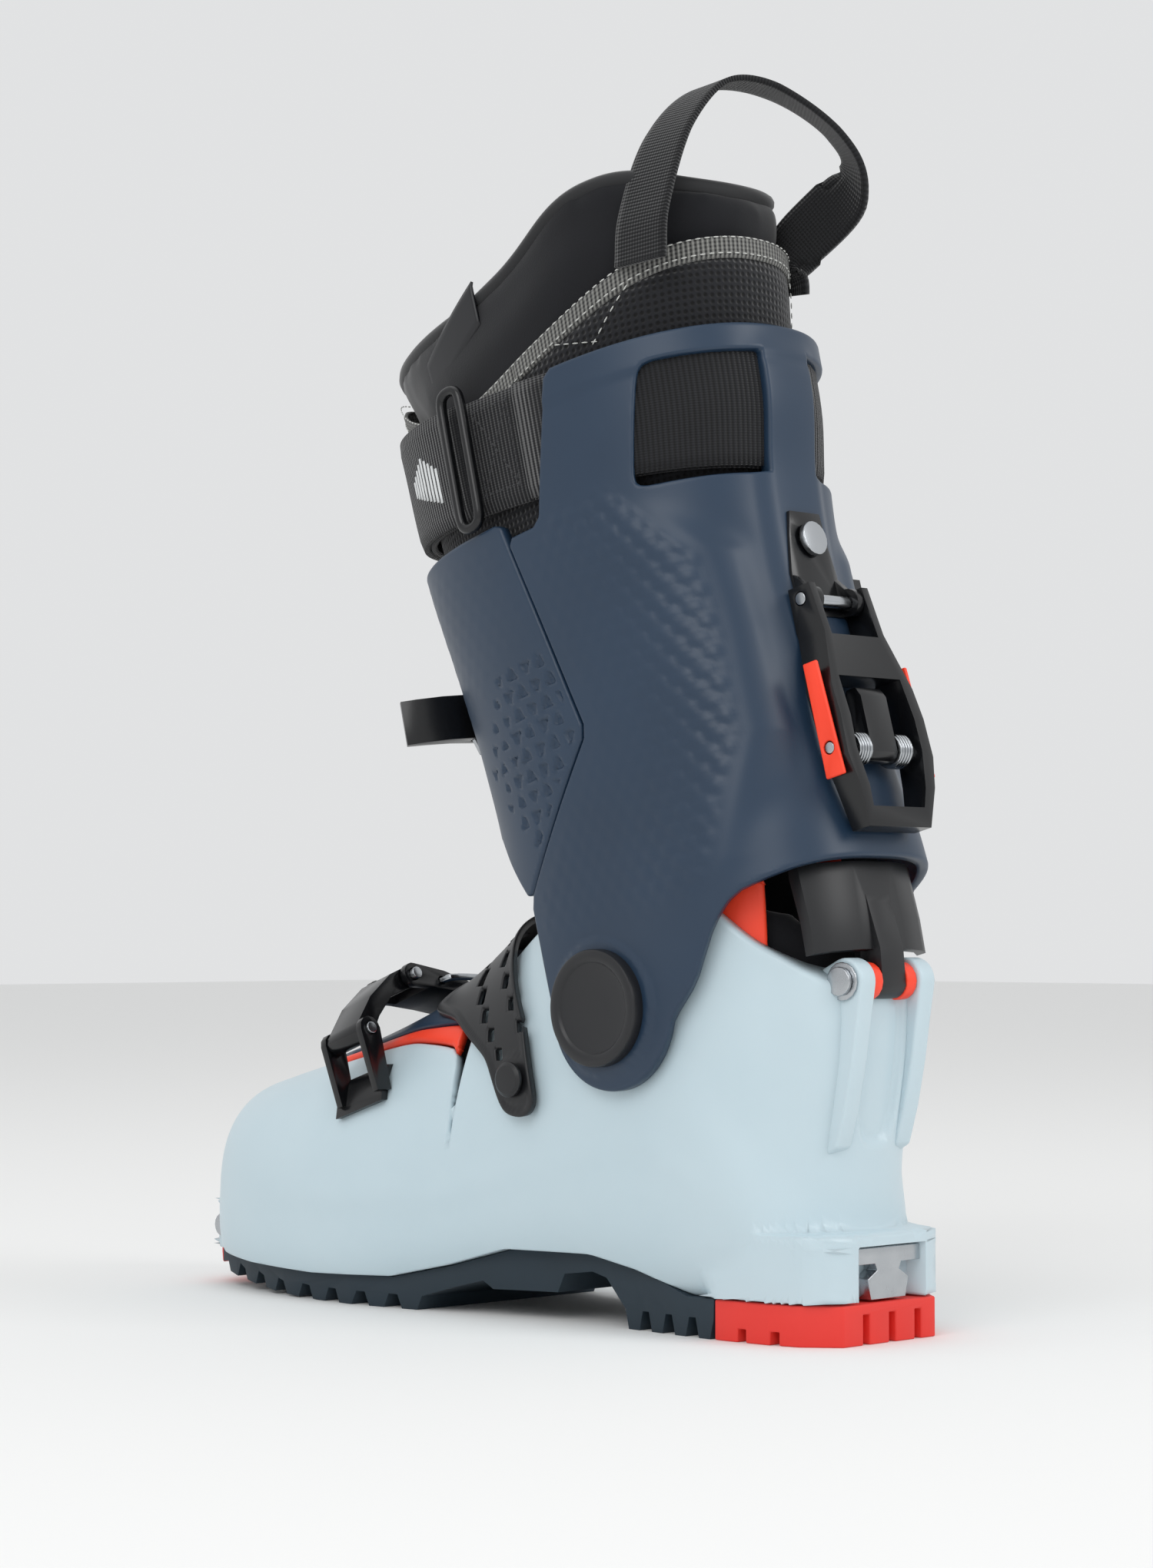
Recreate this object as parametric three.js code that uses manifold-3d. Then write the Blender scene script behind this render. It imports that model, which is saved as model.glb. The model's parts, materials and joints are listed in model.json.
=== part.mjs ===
// Alpine touring ski boot, right foot, in millimetres: +X towards the toe, +Y to the inner side
// of the foot, +Z up. The origin is the middle of the flat heel tread, on the ground.
import * as THREE from 'three';
import { mergeVertices } from 'three/addons/utils/BufferGeometryUtils.js';
import Module from 'manifold-3d';

const wasm = await Module();
wasm.setup();

// Driving dimensions
const soleLength = 287;        // heel to toe, as moulded on the heel
const ballHalfInner = 48;      // half-widths of the lower shell at the ball of the foot
const ballHalfOuter = 51;
const ankleHalf = 42.4;        // half-width of the lower shell at the ankle
const shellWall = 4;
const pivot = { x: 72, z: 99 };  // ankle pivot of the cuff, behind the middle of the sole
const cuffLean = THREE.MathUtils.degToRad(14);
const cuffTop = 198;           // rim of the cuff above the pivot, along the leg
const cuffWall = 3.5;
const cuffShellGap = 1.5;      // running clearance between the cuff and the lower shell
const foam = 6;                // liner thickness round the foot
const collarFoam = 8;
const collarTop = 256;
const gap = 0.3;               // clearance between pieces that touch
const heelTreadLength = 41;
const soleLine = 12.4;         // underside of the plastic at the heel
const ledgeTop = 33;
const axle = { x: 1, z: 107.5, radius: 2.6 };
const earInside = 10.4;
const earOutside = 17.4;
const linkHalf = 5.4;
const boltRadius = 8;
const capRadius = 18;
const leverHinge = { p: -79.8, q: 108, radius: 2 };
const leverLength = 78;
const leverHalf = 20;
const strapWidth = 38;
const webbing = 2.2;
const buckleSlope = THREE.MathUtils.degToRad(19.5);
const forefootStation = soleLength - 94;   // middle of the forefoot buckle
const forefootTop = 92;        // top of the lower shell there
const instepStation = 140;     // middle of the instep strap over the shell
const instepTop = 112.5;
const instepSlope = THREE.MathUtils.degToRad(34);

const heelBack = -3;           // rearmost point of the heel ledge
const treadMiddle = heelBack + heelTreadLength / 2;

// Shapes -------------------------------------------------------------------------------------

function toSolid(geometry) {
  const bare = geometry.clone();
  bare.deleteAttribute('normal');
  bare.deleteAttribute('uv');
  const merged = mergeVertices(bare, 1e-4);
  return new wasm.Manifold(new wasm.Mesh({
    numProp: 3,
    vertProperties: new Float32Array(merged.attributes.position.array),
    triVerts: new Uint32Array(merged.index.array),
  }));
}

function toGeometry(solid) {
  const mesh = solid.getMesh();
  const geometry = new THREE.BufferGeometry();
  geometry.setAttribute('position', new THREE.BufferAttribute(new Float32Array(mesh.vertProperties), 3));
  geometry.setIndex(new THREE.BufferAttribute(new Uint32Array(mesh.triVerts), 1));
  geometry.computeVertexNormals();
  return geometry;
}

// A solid put somewhere else by a matrix
function placed(solid, matrix) {
  const mesh = solid.getMesh();
  const points = new THREE.BufferAttribute(new Float32Array(mesh.vertProperties), 3).applyMatrix4(matrix);
  return new wasm.Manifold(new wasm.Mesh({
    numProp: 3, vertProperties: points.array, triVerts: mesh.triVerts,
  }));
}

const moved = (solid, x, y, z) => placed(solid, new THREE.Matrix4().makeTranslation(x, y, z));

function box(x0, x1, y0, y1, z0, z1) {
  const geometry = new THREE.BoxGeometry(x1 - x0, y1 - y0, z1 - z0);
  geometry.translate((x0 + x1) / 2, (y0 + y1) / 2, (z0 + z1) / 2);
  return toSolid(geometry);
}

// A side-view outline of [x, z] points, made solid from y0 to y1
function slab(outline, y0, y1, holes = []) {
  const shape = new THREE.Shape(outline.map(([x, z]) => new THREE.Vector2(x, z)));
  holes.forEach((hole) => shape.holes.push(new THREE.Path(hole.map(([x, z]) => new THREE.Vector2(x, z)))));
  const geometry = new THREE.ExtrudeGeometry(shape, { depth: y1 - y0, bevelEnabled: false });
  geometry.rotateX(Math.PI / 2);
  geometry.translate(0, y1, 0);
  return toSolid(geometry);
}

// A plan-view outline of [x, y] points, made solid from z0 to z1
function plate(outline, z0, z1) {
  const shape = new THREE.Shape(outline.map(([x, y]) => new THREE.Vector2(x, y)));
  const geometry = new THREE.ExtrudeGeometry(shape, { depth: z1 - z0, bevelEnabled: false });
  geometry.translate(0, 0, z0);
  return toSolid(geometry);
}

// An end-view outline of [y, z] points, made solid from x0 to x1
function bar(outline, x0, x1) {
  const shape = new THREE.Shape(outline.map(([y, z]) => new THREE.Vector2(y, z)));
  const geometry = new THREE.ExtrudeGeometry(shape, { depth: x1 - x0, bevelEnabled: false });
  geometry.rotateX(Math.PI / 2);
  geometry.rotateZ(Math.PI / 2);
  geometry.translate(x0, 0, 0);
  return toSolid(geometry);
}

// A rod along Y; a hollow one when it has an inner radius
function rod(x, z, radius, y0, y1, inner = 0, sides = 16) {
  const geometry = new THREE.CylinderGeometry(radius, radius, y1 - y0, sides);
  geometry.translate(x, (y0 + y1) / 2, z);
  const solid = toSolid(geometry);
  return inner > 0 ? solid.subtract(rod(x, z, inner, y0 - 1, y1 + 1, 0, sides)) : solid;
}

function rodBetween(from, to, radius, sides = 12) {
  const a = new THREE.Vector3(...from);
  const b = new THREE.Vector3(...to);
  const geometry = new THREE.CylinderGeometry(radius, radius, a.distanceTo(b), sides);
  const turn = new THREE.Quaternion().setFromUnitVectors(
    new THREE.Vector3(0, 1, 0), b.clone().sub(a).normalize());
  geometry.applyQuaternion(turn);
  geometry.translate(...a.add(b).multiplyScalar(0.5).toArray());
  return toSolid(geometry);
}

// A closed solid through rings of equally many points, with fans over its first and last ring
function loft(rings) {
  const count = rings[0].length;
  const points = rings.flat().map((p) => p.slice());
  const faces = [];
  const vertex = (ring, side) => ring * count + ((side + count) % count);
  for (let ring = 0; ring < rings.length - 1; ring += 1) {
    for (let side = 0; side < count; side += 1) {
      faces.push(vertex(ring, side), vertex(ring, side + 1), vertex(ring + 1, side + 1));
      faces.push(vertex(ring, side), vertex(ring + 1, side + 1), vertex(ring + 1, side));
    }
  }
  [0, rings.length - 1].forEach((ring, end) => {
    const centre = [0, 1, 2].map((axis) => rings[ring].reduce((sum, p) => sum + p[axis], 0) / count);
    points.push(centre);
    for (let side = 0; side < count; side += 1) {
      const pair = [vertex(ring, side), vertex(ring, side + 1)];
      faces.push(points.length - 1, ...(end === 0 ? pair.reverse() : pair));
    }
  });
  const volume = faces.reduce((sum, _, i) => {
    if (i % 3) return sum;
    const [a, b, c] = [0, 1, 2].map((k) => new THREE.Vector3(...points[faces[i + k]]));
    return sum + a.dot(b.cross(c));
  }, 0);
  const geometry = new THREE.BufferGeometry();
  geometry.setAttribute('position', new THREE.BufferAttribute(new Float32Array(points.flat()), 3));
  if (volume < 0) {
    for (let i = 0; i < faces.length; i += 3) [faces[i], faces[i + 1]] = [faces[i + 1], faces[i]];
  }
  geometry.setIndex(faces);
  return toSolid(geometry);
}

const arc = (cx, cy, radius, from, to, steps) => Array.from({ length: steps + 1 }, (_, i) => {
  const angle = THREE.MathUtils.degToRad(from + (to - from) * i / steps);
  return [cx + radius * Math.cos(angle), cy + radius * Math.sin(angle)];
});

// Smooth values between the rows of a table of sections, at 0 to 1 along it
function between(rows, along) {
  const last = rows.length - 1;
  const place = THREE.MathUtils.clamp(along, 0, 1) * last;
  const i = Math.min(Math.floor(place), last - 1);
  const t = place - i;
  return rows[i].map((_, k) => {
    const b = rows[i][k];
    const c = rows[i + 1][k];
    const a = i === 0 ? 2 * b - c : rows[i - 1][k];
    const d = i === last - 1 ? 2 * c - b : rows[i + 2][k];
    return 0.5 * (2 * b + (c - a) * t + (2 * a - 5 * b + 4 * c - d) * t * t
      + (3 * b - a - 3 * c + d) * t * t * t);
  });
}

const rounded = (value, power) => Math.sign(value) * Math.abs(value) ** (2 / power);

// Lower shell form: sections that fan from the toe round to the ankle opening. Each row has its
// lowest and highest point [x, z], half-widths inside and outside, the height of its widest
// point as a share, and how square its lower and upper halves are.
const toe = soleLength;
const shellRows = [
  [toe - 7, 34, toe - 7, 48, 8, 8, 0.5, 2, 2],
  [toe - 9, 18, toe - 10, 61, 24, 22, 0.45, 3, 2.4],
  [toe - 17, 6, toe - 20, 69, 35, 33, 0.4, 4, 2.6],
  [toe - 35, 2, toe - 38, 74, ballHalfInner - 5, ballHalfOuter - 9, 0.38, 4.5, 2.6],
  [toe - 62, 0, toe - 64, 81, ballHalfInner, ballHalfOuter - 3, 0.36, 4.5, 2.4],
  [toe - 95, 0, toe - 95, 92, ballHalfInner + 1, ballHalfOuter + 1, 0.35, 4.5, 2.2],
  [160, 2, 164, 105, ankleHalf + 3.1, ankleHalf + 6.6, 0.36, 4, 2.1],
  [128, 6, 142, 120, ankleHalf + 0.1, ankleHalf + 1.6, 0.4, 3.5, 2.1],
  [92, 6, 124, 136, ankleHalf - 0.4, ankleHalf, 0.45, 3.2, 2.2],
  [50, 2, 112, 146, ankleHalf - 0.1, ankleHalf - 0.1, 0.5, 3, 2.3],
  [8, 4, 104, 152, ankleHalf, ankleHalf, 0.55, 2.5, 2.4],
  [5, 40, 100, 158, ankleHalf, ankleHalf, 0.6, 2.2, 2.4],
  [3, 75, 98, 163, ankleHalf, ankleHalf, 0.6, 2.1, 2.4],
  [3, 105, 96, 168, ankleHalf, ankleHalf, 0.6, 2.1, 2.4],
  [5, 132, 94, 174, ankleHalf, ankleHalf, 0.6, 2.1, 2.4],
  [9, 166, 92, 206, ankleHalf, ankleHalf, 0.6, 2.1, 2.4],
];

function shellRing(along, offset, sides) {
  const [bx, bz, tx, tz, inner, outer, widest, low, high] = between(shellRows, along);
  const nose = THREE.MathUtils.smoothstep(bx, toe - 52, toe - 7) * offset;
  const length = Math.hypot(tx - bx, tz - bz);
  const up = [(tx - bx) / length, (tz - bz) / length];
  const foot = [bx + nose - up[0] * offset, bz - up[1] * offset];
  const span = length + 2 * offset;
  return Array.from({ length: sides }, (_, i) => {
    const angle = 2 * Math.PI * (i + 0.5) / sides;
    const c = Math.cos(angle);
    const s = Math.sin(angle);
    const power = s > 0 ? high : low;
    const rise = Math.abs(s) ** (2 / power);
    const height = s > 0 ? widest + (1 - widest) * rise : widest * (1 - rise);
    const half = (c > 0 ? inner : outer) + offset;
    return [foot[0] + up[0] * span * height, rounded(c, power) * half, foot[1] + up[1] * span * height];
  });
}

function shellForm(offset, sides = 24, steps = 20) {
  return loft(Array.from({ length: steps + 1 }, (_, i) => shellRing(i / steps, offset, sides)));
}

// Forms round the leg, in the leg's own frame: +X forward, +Z up the leg from the ankle pivot.
// Each row has its height, rear and front, half-width, the place of its widest point, and how
// square its rear and front halves are.
const cuffHalf = ankleHalf + cuffShellGap + cuffWall;
const cuffRows = [
  [-34, -78, 56, cuffHalf, -4, 3.2, 3.2],
  [0, -81, 57, cuffHalf, -4, 3.2, 3],
  [30, -82, 57, cuffHalf, -5, 2.8, 2.6],
  [60, -80, 58, cuffHalf, -7, 2.5, 2.3],
  [90, -77, 62, cuffHalf + 0.5, -8, 2.4, 2.2],
  [120, -74, 67, cuffHalf + 1, -8, 2.3, 2.2],
  [cuffTop - 48, -75, 73, cuffHalf + 2, -8, 2.3, 2.2],
  [cuffTop - 23, -80, 77, cuffHalf + 2.6, -8, 2.3, 2.2],
  [cuffTop + 2, -81, 79, cuffHalf + 2.6, -8, 2.3, 2.2],
];
const collarRows = [
  [20, -67, 50, ankleHalf - 4, -5, 2.4, 2.2],
  [70, -68, 53, ankleHalf - 3, -7, 2.3, 2.2],
  [120, -65, 60, ankleHalf - 2, -8, 2.3, 2.2],
  [cuffTop - 48, -67.5, 65, ankleHalf - 1, -8, 2.3, 2.2],
  [cuffTop, -73, 71, ankleHalf + 0.6, -8, 2.3, 2.2],
  [cuffTop + 32, -79, 76, ankleHalf + 2, -8, 2.2, 2.2],
  [collarTop + 10, -81, 82, ankleHalf + 3, -8, 2.2, 2.2],
];

function legForm(rows, offset, sides = 28, steps = 12) {
  return loft(Array.from({ length: steps + 1 }, (_, i) => {
    const [height, rear, front, half, middle, rearPower, frontPower] = between(rows, i / steps);
    return Array.from({ length: sides }, (__, k) => {
      const angle = 2 * Math.PI * (k + 0.5) / sides;
      const s = Math.sin(angle);
      const power = s > 0 ? frontPower : rearPower;
      const reach = (s > 0 ? front - middle : middle - rear) + offset;
      return [middle + rounded(s, power) * reach, rounded(Math.cos(angle), power) * (half + offset), height];
    });
  }));
}

// A patch that lies on the cuff or the lower shell, between two distances from its surface
const cuffPatch = (near, far, outline) => legForm(cuffRows, far).subtract(legForm(cuffRows, near))
  .intersect(outline);
const shellPatch = (near, far, outline) => shellForm(far).subtract(shellForm(near)).intersect(outline);
const largest = (solid) => solid.decompose().sort((a, b) => b.volume() - a.volume())[0];


// Placing ------------------------------------------------------------------------------------

const boot = new THREE.Group();
boot.position.x = -treadMiddle;
const leg = new THREE.Group();
leg.position.set(pivot.x, 0, pivot.z);
leg.rotation.y = cuffLean;
boot.add(leg);
const model = new THREE.Group();
model.add(boot);

const finishes = {
  shellGrey: [0xbfd0d8, 0.45, 0],
  navy: [0x2c4055, 0.45, 0],
  orange: [0xff4a2a, 0.5, 0],
  rubberNavy: [0x1f303c, 0.85, 0],
  rubberRed: [0xe8362f, 0.8, 0],
  black: [0x17181b, 0.4, 0],
  steel: [0xb8bcc0, 0.25, 1],
  foamBlack: [0x141519, 0.95, 0],
  webbingBlack: [0x1b1c20, 0.9, 0],
  board: [0x33373c, 0.7, 0],
};

function add(name, solid, finish, parent = boot) {
  const [color, roughness, metalness] = finishes[finish];
  const mesh = new THREE.Mesh(toGeometry(solid),
    new THREE.MeshStandardMaterial({ color, roughness, metalness }));
  mesh.name = name;
  parent.add(mesh);
  return mesh;
}

const wide = 90;               // past either side of the boot

// Sole ---------------------------------------------------------------------------------------

const soleHalf = (x, side) => {
  const ball = side > 0 ? ballHalfInner - 4 : ballHalfOuter - 4;
  const heel = side > 0 ? 33.5 : 31;
  const rows = [[-3, heel - 11], [4, heel - 3.5], [20, heel], [42, heel + 0.5], [80, 31], [112, 31.5],
    [150, 39], [toe - 97, ball], [toe - 60, ball - 2], [toe - 30, 35], [toe - 12, 29], [toe, 19]];
  const next = rows.findIndex(([at]) => at >= x);
  if (next <= 0) return next < 0 ? rows[rows.length - 1][1] : rows[0][1];
  const [[x0, h0], [x1, h1]] = [rows[next - 1], rows[next]];
  return h0 + (h1 - h0) * (x - x0) / (x1 - x0);
};

function solePlan(from, to, grow = 0) {
  const steps = Math.ceil((to - from) / 12);
  const xs = Array.from({ length: steps + 1 }, (_, i) => from + (to - from) * i / steps);
  const outer = xs.map((x) => [x, -soleHalf(x, -1) - grow]);
  return [...outer, ...xs.reverse().map((x) => [x, soleHalf(x, 1) + grow])];
}

// The line where the plastic meets the rubber, and the ground under the rubber
const plasticLine = [[-20, soleLine], [50, soleLine], [70, 19], [88, 22.5], [124, 22], [148, 15.5],
  [172, 10.5], [toe - 80, 9.5], [toe - 45, 10.5], [toe - 14, 12.6], [toe + 20, 13]];
const lineAt = (line, x) => {
  const next = line.findIndex(([at]) => at >= x);
  const [[x0, z0], [x1, z1]] = [line[next - 1], line[next]];
  return z0 + (z1 - z0) * (x - x0) / (x1 - x0);
};
const rocker = (x) => Math.max(0, x - (toe - 92)) ** 2 * 0.00092;
const belowPlastic = [...plasticLine, [toe + 20, -40], [-20, -40]];

// A row of lugs between two places: down to the ground under each lug, up between them
function lugs(from, to, count, depth) {
  const pitch = (to - from) / count;
  const points = [];
  for (let i = 0; i < count; i += 1) {
    const x = from + i * pitch;
    points.push([x + pitch * 0.02, rocker(x) + depth], [x + pitch * 0.16, rocker(x)]);
    points.push([x + pitch * 0.62, rocker(x + pitch * 0.6)], [x + pitch * 0.76, rocker(x) + depth]);
  }
  return points;
}

const treadFront = heelBack + heelTreadLength;
const toeTreadBack = toe - 13;
const rubberTop = plasticLine.map(([x, z]) => [x, z - gap]);
const outsoleProfile = [
  ...lugs(treadFront + gap, 80, 4, 6), [86, 15], [92, 16.5], [104, 15], [107, 9], [132, 8.5], [136, 11],
  [148, 8], ...lugs(160, toeTreadBack - 1.5, 8, 4.5),
  [toeTreadBack - gap, rocker(toeTreadBack) + 2],
  [toeTreadBack - gap, lineAt(rubberTop, toeTreadBack)],
  ...rubberTop.filter(([x]) => x > treadFront && x < toeTreadBack).reverse(),
  [treadFront + gap, soleLine - gap],
];
const outsole = slab(outsoleProfile, -wide, wide)
  .intersect(plate(solePlan(treadFront + gap, toeTreadBack - gap), -5, 40));
add('outsole', outsole, 'rubberNavy');

const notches = [-12, 0, 12].map((y) => box(heelBack - 1, heelBack + 3.5, y - 1.5, y + 1.5, -1, 9));
const heelTread = notches.reduce((solid, notch) => solid.subtract(notch),
  plate(solePlan(heelBack, treadFront), 0, soleLine - gap));
add('heel_tread', heelTread.subtract(box(14, 17, -wide, wide, -1, 4)).subtract(box(26, 29, -wide, wide, -1, 4)),
  'rubberRed');

const toeTread = slab([[toeTreadBack, rocker(toeTreadBack) + 1.5], [toe - 1, rocker(toe) + 1.5],
  [toe - 1, lineAt(rubberTop, toe - 1)], [toeTreadBack, lineAt(rubberTop, toeTreadBack)]], -wide, wide)
  .intersect(plate(solePlan(toeTreadBack, toe - 1), -5, 40));
add('toe_tread', toeTread, 'rubberRed');

// Lower shell --------------------------------------------------------------------------------

const toeLedgeTop = 29.3;
const heelLedge = plate(solePlan(heelBack, 40, 1), soleLine, ledgeTop);
const toeLedge = plate(solePlan(toe - 40, toe, 1), 6, toeLedgeTop);
const earOutline = [...arc(axle.x, axle.z, 7, 50, 190, 8), [-3.4, 92], [2, 66], [8, 50], [22, 60], [30, 90],
  [18, 110]];
const earSolids = [slab(earOutline, earInside, earOutside), slab(earOutline, -earOutside, -earInside)];

// The upper edge of the plastic, which dips at the heel and rises over the ankle
const upperEdge = [[-30, 108], [6, 110], [22, 118], [36, 130], [60, 138], [100, 134], [118, 124],
  [134, 112], [140, 108]];
const throatEdge = (grow) => {
  const back = 176;
  const half = 33 + grow;
  const front = toe - 42 + grow;
  return [[-40, -wide], [140, -wide], [146, -half - 4], [back, -half + 3], [front - 26, -25 - grow],
    ...arc(front - 17, 0, 17 + grow * 0.6, -70, 70, 6),
    [front - 26, 25 + grow], [back, half - 3], [146, half + 4], [140, wide], [-40, wide]];
};
const stripWidth = 3.2;
const throatBottom = 45;
const throat = (grow) => plate(throatEdge(grow), throatBottom, 260)
  .intersect(slab([...upperEdge, [146, throatBottom], [300, throatBottom], [300, 260], [-30, 260]], -wide, wide));

const cavity = shellForm(-shellWall);
const insertSlot = { half: 15.5, depth: 7, top: 28.8 };
const recessDepth = 2.5;
const channelTop = 98;
let lowerShell = shellForm(0).add(heelLedge).add(toeLedge).add(earSolids[0]).add(earSolids[1]);
lowerShell = lowerShell
  .subtract(slab(belowPlastic, -wide, wide))
  .subtract(cavity)
  .subtract(throat(0))
  .subtract(box(heelBack - 1, heelBack + insertSlot.depth,
    -insertSlot.half, insertSlot.half, 0, insertSlot.top))
  .subtract(rod(axle.x, axle.z, axle.radius + gap, -wide, wide))
  .subtract(box(-30, 40, -earInside, earInside, channelTop, 200));
[1, -1].forEach((side) => {
  const y = side > 0 ? [32.5, wide] : [-wide, -32.5];
  lowerShell = lowerShell
    .subtract(rod(pivot.x, pivot.z, boltRadius + gap, ...y))
    .subtract(rod(toe - 15, 20.5, 4 + gap, side > 0 ? 24 : -wide, side > 0 ? wide : -24))
    .subtract(box(heelBack - 1, heelBack + recessDepth,
      side > 0 ? 17.5 : -24, side > 0 ? 24 : -17.5, 18, 26));
});
add('lower_shell', largest(lowerShell), 'shellGrey');

// Soft collar inside the ankle opening, slotted at the back for the ski-walk link
const gaiterWall = 2.4;
const wingHalf = 26;           // half-width of the link's flexible wing
const gaiterEdge = [[-30, 100], [6, 101], [22, 108], [36, 120], [60, 128], [98, 126], [112, 118], [126, 108],
  [152, 108], [150, 122], [134, 136], [112, 148], [84, 152], [50, 147], [24, 138], [10, 131], [-30, 128]];
const gaiterBand = slab(gaiterEdge, -wide, wide);
const gaiter = shellForm(-shellWall - gap).subtract(shellForm(-shellWall - gap - gaiterWall))
  .intersect(gaiterBand)
  .subtract(box(-30, 30, -wingHalf - 2, wingHalf + 2, 60, 200))
  .subtract(box(108, 200, -30, 30, 60, 200))
  .subtract(rod(pivot.x, pivot.z, boltRadius + 5, -wide, wide));
add('ankle_gaiter', largest(gaiter), 'orange');

// Overlap flap over the instep, with its sealing strip round the edge
const instepFlap = shellForm(1.6).subtract(shellForm(-2.2))
  .intersect(throat(-gap - stripWidth - gap)).intersect(box(147, toe, -wide, wide, 0, 200));
add('instep_flap', largest(instepFlap), 'navy');
const sealStrip = shellForm(0.9).subtract(shellForm(-2.6))
  .intersect(throat(-gap)).subtract(throat(-gap - stripWidth)).intersect(box(147, toe, -wide, wide, 0, 200));
add('throat_seal', largest(sealStrip), 'orange');

// Heel insert: a top bar with a necked body under it, let into the ledge
const insertShape = [[-14.8, 28.3], [-14.8, 23.5], [-6, 23.5], [-5, 21.5], [-9.5, 19], [-8, 12.8], [8, 12.8],
  [9.5, 19], [5, 21.5], [6, 23.5], [14.8, 23.5], [14.8, 28.3]];
add('heel_insert', bar(insertShape, heelBack + 1.6, heelBack + insertSlot.depth - gap), 'steel');
[1, -1].forEach((side) => {
  const [near, far] = [24.4 * side, 31.6 * side];
  add(`toe_insert_${side > 0 ? 'inner' : 'outer'}`,
    rod(toe - 15, 20.5, 4, Math.min(near, far), Math.max(near, far)), 'steel');
});

// Inside -------------------------------------------------------------------------------------

const bootBoard = shellForm(-shellWall - gap - 0.2)
  .intersect(slab([[10, 16.8], [60, 16.8], [86, 27], [124, 26.5], [150, 20], [180, 15], [toe - 40, 15],
    [toe - 40, 19], [180, 19], [150, 24], [124, 30.5], [86, 31], [60, 22], [10, 22]], -wide, wide));
add('boot_board', bootBoard, 'board');

const footTop = 68;            // radius round the ankle pivot that parts the two halves of the liner
const footCut = [[-30, 120], [10, 124], ...arc(pivot.x, pivot.z, footTop, 150, 40, 10), [138, 130], [300, 60],
  [300, 300], [-30, 300]];
const insole = [[-30, -30], [-30, 23], [60, 23], [86, 32], [124, 31.5], [150, 25], [180, 20], [toe, 20],
  [toe + 9, -30]];
const linerOut = shellForm(-shellWall - gap - gaiterWall - 2, 20, 15);
const linerIn = shellForm(-shellWall - gap - gaiterWall - 2 - foam, 20, 15);
const linerBody = linerOut.subtract(linerIn.subtract(slab(
  [[-30, -30], [-30, 27], [60, 27], [86, 36], [124, 35.5], [150, 29], [180, 24], [toe, 24], [toe + 9, -30]],
  -wide, wide)));
const linerFoot = linerBody
  .subtract(slab(insole, -wide, wide))
  .subtract(slab(footCut, -wide, wide))
  .subtract(box(92, 190, -16, 16, 50, 300))
  .subtract(box(74, 190, -19, 19, 122, 300))
  .subtract(rod(pivot.x, pivot.z, boltRadius + 4, -wide, -33))
  .subtract(rod(pivot.x, pivot.z, boltRadius + 4, 33, wide));
add('liner_foot', largest(linerFoot), 'foamBlack');

// Heel axle and its bushes -------------------------------------------------------------------

const headRadius = 4.4;
add('heel_axle', rod(axle.x, axle.z, axle.radius, -earOutside - 2.6, earOutside + 2.6)
  .add(rod(axle.x, axle.z, headRadius, earOutside + 1.3, earOutside + 2.8))
  .add(rod(axle.x, axle.z, headRadius, -earOutside - 2.8, -earOutside - 1.3)), 'steel');
[1, -1].forEach((side) => {
  const ring = (name, y0, y1, outer, finish) => add(`${name}_${side > 0 ? 'inner' : 'outer'}`,
    rod(axle.x, axle.z, outer, side > 0 ? y0 : -y1, side > 0 ? y1 : -y0, axle.radius + gap), finish);
  ring('axle_washer', earOutside + gap, earOutside + 1.1, 5.8, 'steel');
  ring('axle_bush', linkHalf + gap, earInside - gap, 5.8, 'orange');
});

// Ankle pivots -------------------------------------------------------------------------------

const boltInside = ankleHalf - shellWall - 2.4;
const capFace = cuffHalf + gap;
const turned = (points, side) => {
  const outline = points.map(([radius, height]) => new THREE.Vector2(radius, height));
  const geometry = new THREE.LatheGeometry(outline, 24);
  if (side < 0) geometry.rotateX(Math.PI);
  geometry.translate(pivot.x, 0, pivot.z);
  return toSolid(geometry);
};
[1, -1].forEach((side) => {
  const where = side > 0 ? 'inner' : 'outer';
  const bolt = [[0, boltInside - 1.8], [boltRadius + 3, boltInside - 1.8], [boltRadius + 3, boltInside],
    [boltRadius, boltInside], [boltRadius, capFace + 2], [0, capFace + 2]];
  add(`pivot_bolt_${where}`, turned(bolt, side), 'steel');
  const cap = [[0, capFace + 2 + gap], [boltRadius + gap, capFace + 2 + gap], [boltRadius + gap, capFace],
    [capRadius - 1, capFace],
    [capRadius, capFace + 1], [capRadius, capFace + 2.6], [capRadius - 1.4, capFace + 4], [13.4, capFace + 4],
    [12.6, capFace + 3.2], [11.6, capFace + 4.6], [6, capFace + 4.1], [0, capFace + 4]];
  add(`pivot_cap_${where}`, turned(cap, side), 'black');
});

// Cuff ---------------------------------------------------------------------------------------

const lobe = arc(-2.5, 0, 26, 202, 372, 12);
const ridge = [[25.8, 40], [-13.9, 84], [4, cuffTop - 46]];
const strutFoot = [-11, cuffTop - 46];
const cuffOutline = [[-95, 29.5], [-76, 26.5], [-56, 22], [-48.5, 15], [-38, -1], ...lobe, [24, 19], ...ridge,
  strutFoot, [-25, cuffTop], [-95, cuffTop]];
const spineHalf = 10.5;
const windowOutline = [[-95, cuffTop - 48], [-47, cuffTop - 46], [-56, cuffTop - 8], [-95, cuffTop - 10]];
const cuffSkin = legForm(cuffRows, 0).subtract(legForm(cuffRows, -cuffWall));
let cuff = cuffSkin.intersect(slab(cuffOutline, -wide, wide))
  .subtract(slab(windowOutline, spineHalf, wide))
  .subtract(slab(windowOutline, -wide, -spineHalf))
  .subtract(rod(0, 0, boltRadius + gap, 30, wide))
  .subtract(rod(0, 0, boltRadius + gap, -wide, -30));
add('cuff', largest(cuff), 'navy', leg);

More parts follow.
